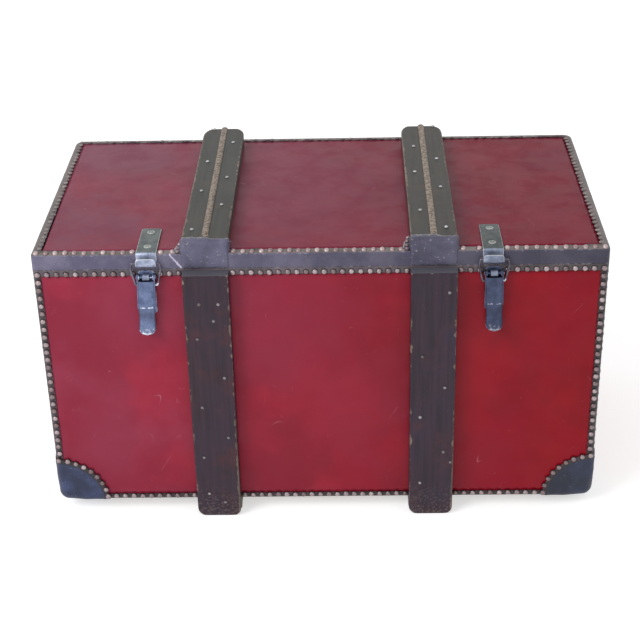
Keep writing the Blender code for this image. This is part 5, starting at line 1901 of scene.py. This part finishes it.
def run_tree(holder, tree, **values):
    """Run a tree with named inputs on an object and return the result as a plain mesh."""
    runner = holder.modifiers.new("tree", "NODES")
    runner.node_group = tree
    for item in tree.interface.items_tree:
        key = item.name.lower().replace(" ", "_")
        if item.item_type == "SOCKET" and item.in_out == "INPUT" and key in values:
            runner[item.identifier] = values[key]
    bpy.context.view_layer.update()
    seen = holder.evaluated_get(bpy.context.evaluated_depsgraph_get())
    mesh = bpy.data.meshes.new_from_object(seen)
    holder.modifiers.remove(runner)
    name, rows = holder.name, holder.data
    bpy.data.objects.remove(holder)
    bpy.data.meshes.remove(rows)
    mesh.name = name
    return mesh


def set_fasteners(name, rows, tree, body, **values):
    """Show a tree's result as a piece. It keeps the finish that the tree has set."""
    mesh = run_tree(rows_object(name, rows), tree, **values)
    piece = bpy.data.objects.new(mesh.name, mesh)
    bpy.context.collection.objects.link(piece)
    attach(piece, body)
    print(piece.name, "faces:", len(mesh.polygons))


print("helpers: rows_object, run_tree, set_fasteners")

# %% [markdown]
# A row stops where a slat, a latch or a hinge sits. Its run is cut into the stretches that are left, with
# room for half a nail's head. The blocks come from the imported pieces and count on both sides. Nails that
# were set and then deleted would leave uneven ends.

# %% Room for the rows
NAIL_PITCH = 12.9 * MM
NAIL_RADIUS = 4.65 * MM
CLEAR = NAIL_RADIUS + 0.8 * MM


def spans(start, end, blocks):
    """What is left of a run from start to end once the blocked stretches are taken out."""
    left = [(start, end)]
    for low, high in blocks:
        cut = []
        for a, b in left:
            if high <= a or low >= b:
                cut.append((a, b))
                continue
            if low - a > 0:
                cut.append((a, low))
            if b - high > 0:
                cut.append((high, b))
        left = cut
    return left


def blocked_by(node):
    """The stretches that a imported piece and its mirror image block."""
    low, high = (corner.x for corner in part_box(node))
    return [(low - CLEAR, high + CLEAR), (-high - CLEAR, -low + CLEAR)]


def line_row(start, end, facing):
    return [(Vector(start), facing), (Vector(end), facing)]


slat_blocks = blocked_by("front_slat_right")
latch_blocks = blocked_by("latch_base_right")
hinge_blocks = blocked_by("hinge_case_leaf_right")
print("stretches of the front's lower row:", len(spans(-HALF_WIDTH, HALF_WIDTH, slat_blocks)))

# %% [markdown]
# On the case, nails run along the rim, up both sides of every upright edge, and along the bottom, where
# they follow the round edge of the corner caps. The heads on the two ends are lower. The rows are the
# lines that a maker would chalk; the tree does the spacing.

# %% Nails on the case
NAIL_INSET = 7.6 * MM
SIDE_INSET = 16.5 * MM
TOP_ROW = RIM_LOW + 3.4 * MM
BOTTOM_ROW = BOTTOM + 8.5 * MM
CAP_NAIL_RADIUS = 77.5 * MM
CAP_NAIL_TURN = 6.3
ON_CAP = 1.2 * MM
PAST_CAP = 0.95 * NAIL_PITCH
face_rows, end_rows = [], []
edge, deep = HALF_WIDTH - NAIL_INSET, HALF_DEPTH - SIDE_INSET
foot, head = BOTTOM + CAP_NAIL_RADIUS + PAST_CAP, TOP_ROW - NAIL_PITCH
reach = HALF_WIDTH - CAP_NAIL_RADIUS - PAST_CAP
for sy, blocks in ((-1, slat_blocks + latch_blocks), (1, slat_blocks + hinge_blocks)):
    y, facing = sy * HALF_DEPTH, (0, sy, 0)
    for z, end, stops in ((TOP_ROW, edge, blocks), (BOTTOM_ROW, reach, slat_blocks)):
        face_rows += [line_row((a, y, z), (b, y, z), facing) for a, b in spans(-end, end, stops)]
    face_rows += [line_row((sx * edge, y, foot), (sx * edge, y, head), facing) for sx in (-1, 1)]
reach = HALF_DEPTH - CAP_NAIL_RADIUS - PAST_CAP
for sx in (-1, 1):
    x, facing = sx * HALF_WIDTH, (sx, 0, 0)
    end_rows.append(line_row((x, -deep, TOP_ROW), (x, deep, TOP_ROW), facing))
    end_rows.append(line_row((x, -reach, BOTTOM_ROW), (x, reach, BOTTOM_ROW), facing))
    end_rows += [line_row((x, sy * deep, foot), (x, sy * deep, head), facing) for sy in (-1, 1)]
for _, _, sx, sy in CORNERS:
    bow = arc((0, 0), CAP_NAIL_RADIUS, CAP_NAIL_TURN, 86, 40)
    y = sy * (HALF_DEPTH + ON_CAP)
    face_rows.append([(Vector((sx * (HALF_WIDTH - u), y, BOTTOM + v)), (0, sy, 0)) for u, v in bow])
    bow = arc((0, 0), CAP_NAIL_RADIUS, CAP_NAIL_TURN, 77, 40)
    x = sx * (HALF_WIDTH + ON_CAP)
    end_rows.append([(Vector((x, sy * (HALF_DEPTH - u), BOTTOM + v)), (sx, 0, 0)) for u, v in bow])
for name, rows, height, seed in (
    ("case_nails", face_rows, 3.4 * MM, 3),
    ("end_nails", end_rows, 2.2 * MM, 4),
):
    set_fasteners(
        name, rows, nail_rows_tree, "case", pitch=NAIL_PITCH, head_radius=NAIL_RADIUS, head_height=height,
        shift=0.35 * MM, tilt=0.07, seed=seed, finish=dome_metal,
    )
print("rows on the case:", len(face_rows) + len(end_rows))

# %% [markdown]
# On the lid the nails stand in the top flange, all round, and stop at the slats and the hasps. The front
# row sits on the fold and leans forward, where the light catches its taller heads. The rest are low and
# dull, so they have a finish of their own.

# %% Nails on the lid
FRONT_ROW = 5 * MM
SIDE_ROW = 10.5 * MM
BACK_ROW = 8.5 * MM
LEANING = (0, -0.5, 0.87)
UP = (0, 0, 1)
wrap_blocks = [(low - (FLAP_WIDTH - CLEAR), high) for low, high in blocked_by("slat_end_cover_right")]
edge, y, z = HALF_WIDTH - 8 * MM, FRONT_ROW - HALF_DEPTH, TOP - 0.8 * MM
open_runs = spans(-edge, edge, wrap_blocks + blocked_by("hasp_plate_right"))
front_rows = [line_row((a, y, z), (b, y, z), LEANING) for a, b in open_runs]
edge, y = HALF_WIDTH - SIDE_ROW, HALF_DEPTH - BACK_ROW
rest_rows = [line_row((a, y, TOP), (b, y, TOP), UP) for a, b in spans(-edge, edge, slat_blocks)]
for x in (-edge, edge):
    rest_rows.append(line_row((x, -HALF_DEPTH + 20 * MM, TOP), (x, y - NAIL_PITCH, TOP), UP))
for name, rows, radius, height, finish in (
    ("lid_front_nails", front_rows, NAIL_RADIUS, 4.2 * MM, lid_nail_metal),
    ("lid_nails", rest_rows, 4.0 * MM, 1.8 * MM, dull_nail_metal),
):
    set_fasteners(
        name, rows, nail_rows_tree, "lid", pitch=NAIL_PITCH, head_radius=radius, head_height=height,
        shift=0.5 * MM, tilt=0.09, seed=8, finish=finish,
    )
print("rows on the lid:", len(front_rows) + len(rest_rows))

# %% [markdown]
# Small flat nails hold the slats, driven by hand in a loose zigzag. A rule could scatter them, but its
# pattern would show, so their places are given one by one, in millimetres: across from the middle of the
# slat, and up or back. The back slats mirror the front ones. Four dome nails hold the flap of each wrap.

# %% Nails in the slats
FRONT_NAILS = {
    "left": ((-11, 379), (17, 379), (9, 351), (-17, 321), (20, 254), (-16, 202), (21, 147), (-19, 111),
             (-14, 43), (10, 27)),
    "right": ((22, 394), (-16, 287), (18, 233), (-18, 181), (18, 117), (-17, 60), (29, 98)),
}
LID_NAILS = {
    "left": ((-17, 215), (-18, 75), (-18, -41), (-21, -180), (18, 156), (18, 11), (17, -93)),
    "right": ((-16, 128), (-18, 22), (-16, -122), (20, 216), (19, 75), (19, -38), (19, -183)),
}
front_points, lid_points, flap_points = [], [], []
for side in ("left", "right"):
    for node, sy in ((f"front_slat_{side}", -1), (f"back_slat_{side}", 1)):
        low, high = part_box(node)
        middle, face = (low.x + high.x) / 2, (low.y if sy < 0 else high.y)
        for across, z in FRONT_NAILS[side]:
            front_points.append([((middle - sy * across * MM, face, z * MM), (0, sy, 0))])
    low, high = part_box(f"lid_slat_{side}")
    for across, along in LID_NAILS[side]:
        lid_points.append([(((low.x + high.x) / 2 + across * MM, along * MM, LID_SLAT_TOP), UP)])
    low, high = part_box(f"slat_end_cover_{side}")
    for back in (4, 16, 28, 40):
        inward = FLAP_WIDTH * (1 - (back * MM / FLAP_REACH) ** 2) / 2
        flap_points.append([((low.x - inward * 0.6, low.y + back * MM, TOP + 1.5 * MM), UP)])
for name, points, body, finish, radius, height, seed in (
    ("front_slat_nails", front_points, "case", slat_nail_metal, 3.1 * MM, 1.2 * MM, 11),
    ("lid_slat_nails", lid_points, "lid", lid_slat_nail_metal, 3.2 * MM, 2.4 * MM, 11),
    ("flap_nails", flap_points, "lid", lid_nail_metal, 3.4 * MM, 2.4 * MM, 5),
):
    set_fasteners(
        name, points, nail_points_tree, body, head_radius=radius, head_height=height, shift=0.3 * MM,
        tilt=0.1, seed=seed, finish=finish,
    )
print("single nails:", len(front_points) + len(lid_points) + len(flap_points))

# %% [markdown]
# Slotted screws hold the hasps, the hinges and the plates of the handles. Their heads are low domes, each
# turned to its own angle, as a screwdriver leaves them. A texture would do from far off, but a cut slot
# also shades as the lid moves.

# %% Screws
PLATE = 1.6 * MM
lid_screws, case_screws = [], []
for side, sx in (("left", -1), ("right", 1)):
    low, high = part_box(f"hasp_plate_{side}")
    for back in (20, 68):
        lid_screws.append([(((low.x + high.x) / 2, -HALF_DEPTH + back * MM, TOP + 2.3 * MM), UP)])
    low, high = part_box(f"hinge_lid_leaf_{side}")
    middle, face = (low.x + high.x) / 2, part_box(f"hinge_case_leaf_{side}")[0].y + PLATE
    for across in (-22, 22):
        lid_screws.append([((middle + across * MM, face, high.z - 7 * MM), (0, 1, 0))])
    low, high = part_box(f"hinge_case_leaf_{side}")
    for across, rise in ((-22, 9), (0, 20), (22, 9)):
        case_screws.append([((middle + across * MM, face, low.z + rise * MM), (0, 1, 0))])
    for end in ("front", "back"):
        low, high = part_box(f"handle_bracket_{side}_{end}")
        for z in (low.z + 7 * MM, high.z - 7 * MM):
            case_screws.append([((sx * (HALF_WIDTH + PLATE), (low.y + high.y) / 2, z), (sx, 0, 0))])
for name, points, body, radius, seed in (
    ("lid_screws", lid_screws, "lid", 5.8 * MM, 2),
    ("case_screws", case_screws, "case", 3.6 * MM, 6),
):
    set_fasteners(
        name, points, screws_tree, body, head_radius=radius, head_height=1.1 * MM, shift=0.1 * MM,
        tilt=0.03, seed=seed, finish=screw_metal,
    )
print("screws:", len(lid_screws) + len(case_screws))

# %% [markdown]
# The world is a soft white sky, and one broad lamp from the upper left gives the shadows a side. The
# floor adds a little white where the camera or a reflection looks at it, so that it reads as paper white
# and still keeps the trunk's shadow. A floor that only catches shadows would lend the trunk no light from
# below.

# %% Floor, world and lamps
FLOOR_WHITE = 0.56
SKY_LIGHT = 0.62
LAMP_POWER = 120.0
LAMP_SIZE = 2.6
LAMP_PLACE = (-3.2, -2.8, 3.6)
TRUNK_MIDDLE = (0, 0, 0.25)


def background_rays(recipe):
    """1 for the rays that see the background, 0 for those that light the trunk."""
    path = recipe.add("ShaderNodeLightPath").outputs
    seen = recipe.math("MAXIMUM", path["Is Camera Ray"], path["Is Glossy Ray"])
    return recipe.math("MAXIMUM", seen, path["Is Transmission Ray"])


bpy.ops.mesh.primitive_plane_add(size=30)
floor = bpy.context.object
floor.name = "floor"
paper, recipe, shader, _ = start_material("floor_paper", 0.9, specular=0.1)
shader.inputs["Base Color"].default_value = (0.8, 0.8, 0.8, 1)
shader.inputs["Emission Color"].default_value = (1, 1, 1, 1)
white = recipe.times(background_rays(recipe), FLOOR_WHITE)
wire_up(recipe, shader, emission_strength=white)
floor.data.materials.append(paper)
floor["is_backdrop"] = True

world = bpy.data.worlds.new("soft_sky")
scene.world = world
world.use_nodes = True
recipe = Recipe(world.node_tree)
sky = world.node_tree.nodes["Background"]
sky.inputs["Color"].default_value = (1, 1, 1, 1)
recipe.feed(sky.inputs["Strength"], recipe.remap(background_rays(recipe), 0.0, 1.0, SKY_LIGHT, 1.0))

lamp = bpy.data.objects.new("window_lamp", bpy.data.lights.new("window_lamp", "AREA"))
lamp.data.shape = "DISK"
lamp.data.size = LAMP_SIZE
lamp.data.energy = LAMP_POWER
lamp.location = LAMP_PLACE
lamp.rotation_euler = (Vector(TRUNK_MIDDLE) - Vector(LAMP_PLACE)).to_track_quat("-Z", "Y").to_euler()
bpy.context.collection.objects.link(lamp)
print("lamps: 1, sky light:", SKY_LIGHT)

# %% Finish
model_low, model_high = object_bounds()
grown = [round(1000 * (m - c), 1) for m, c in zip((*model_low, *model_high), (*cad_low, *cad_high))]
print("the dressed trunk differs from the solids, mm:", grown)
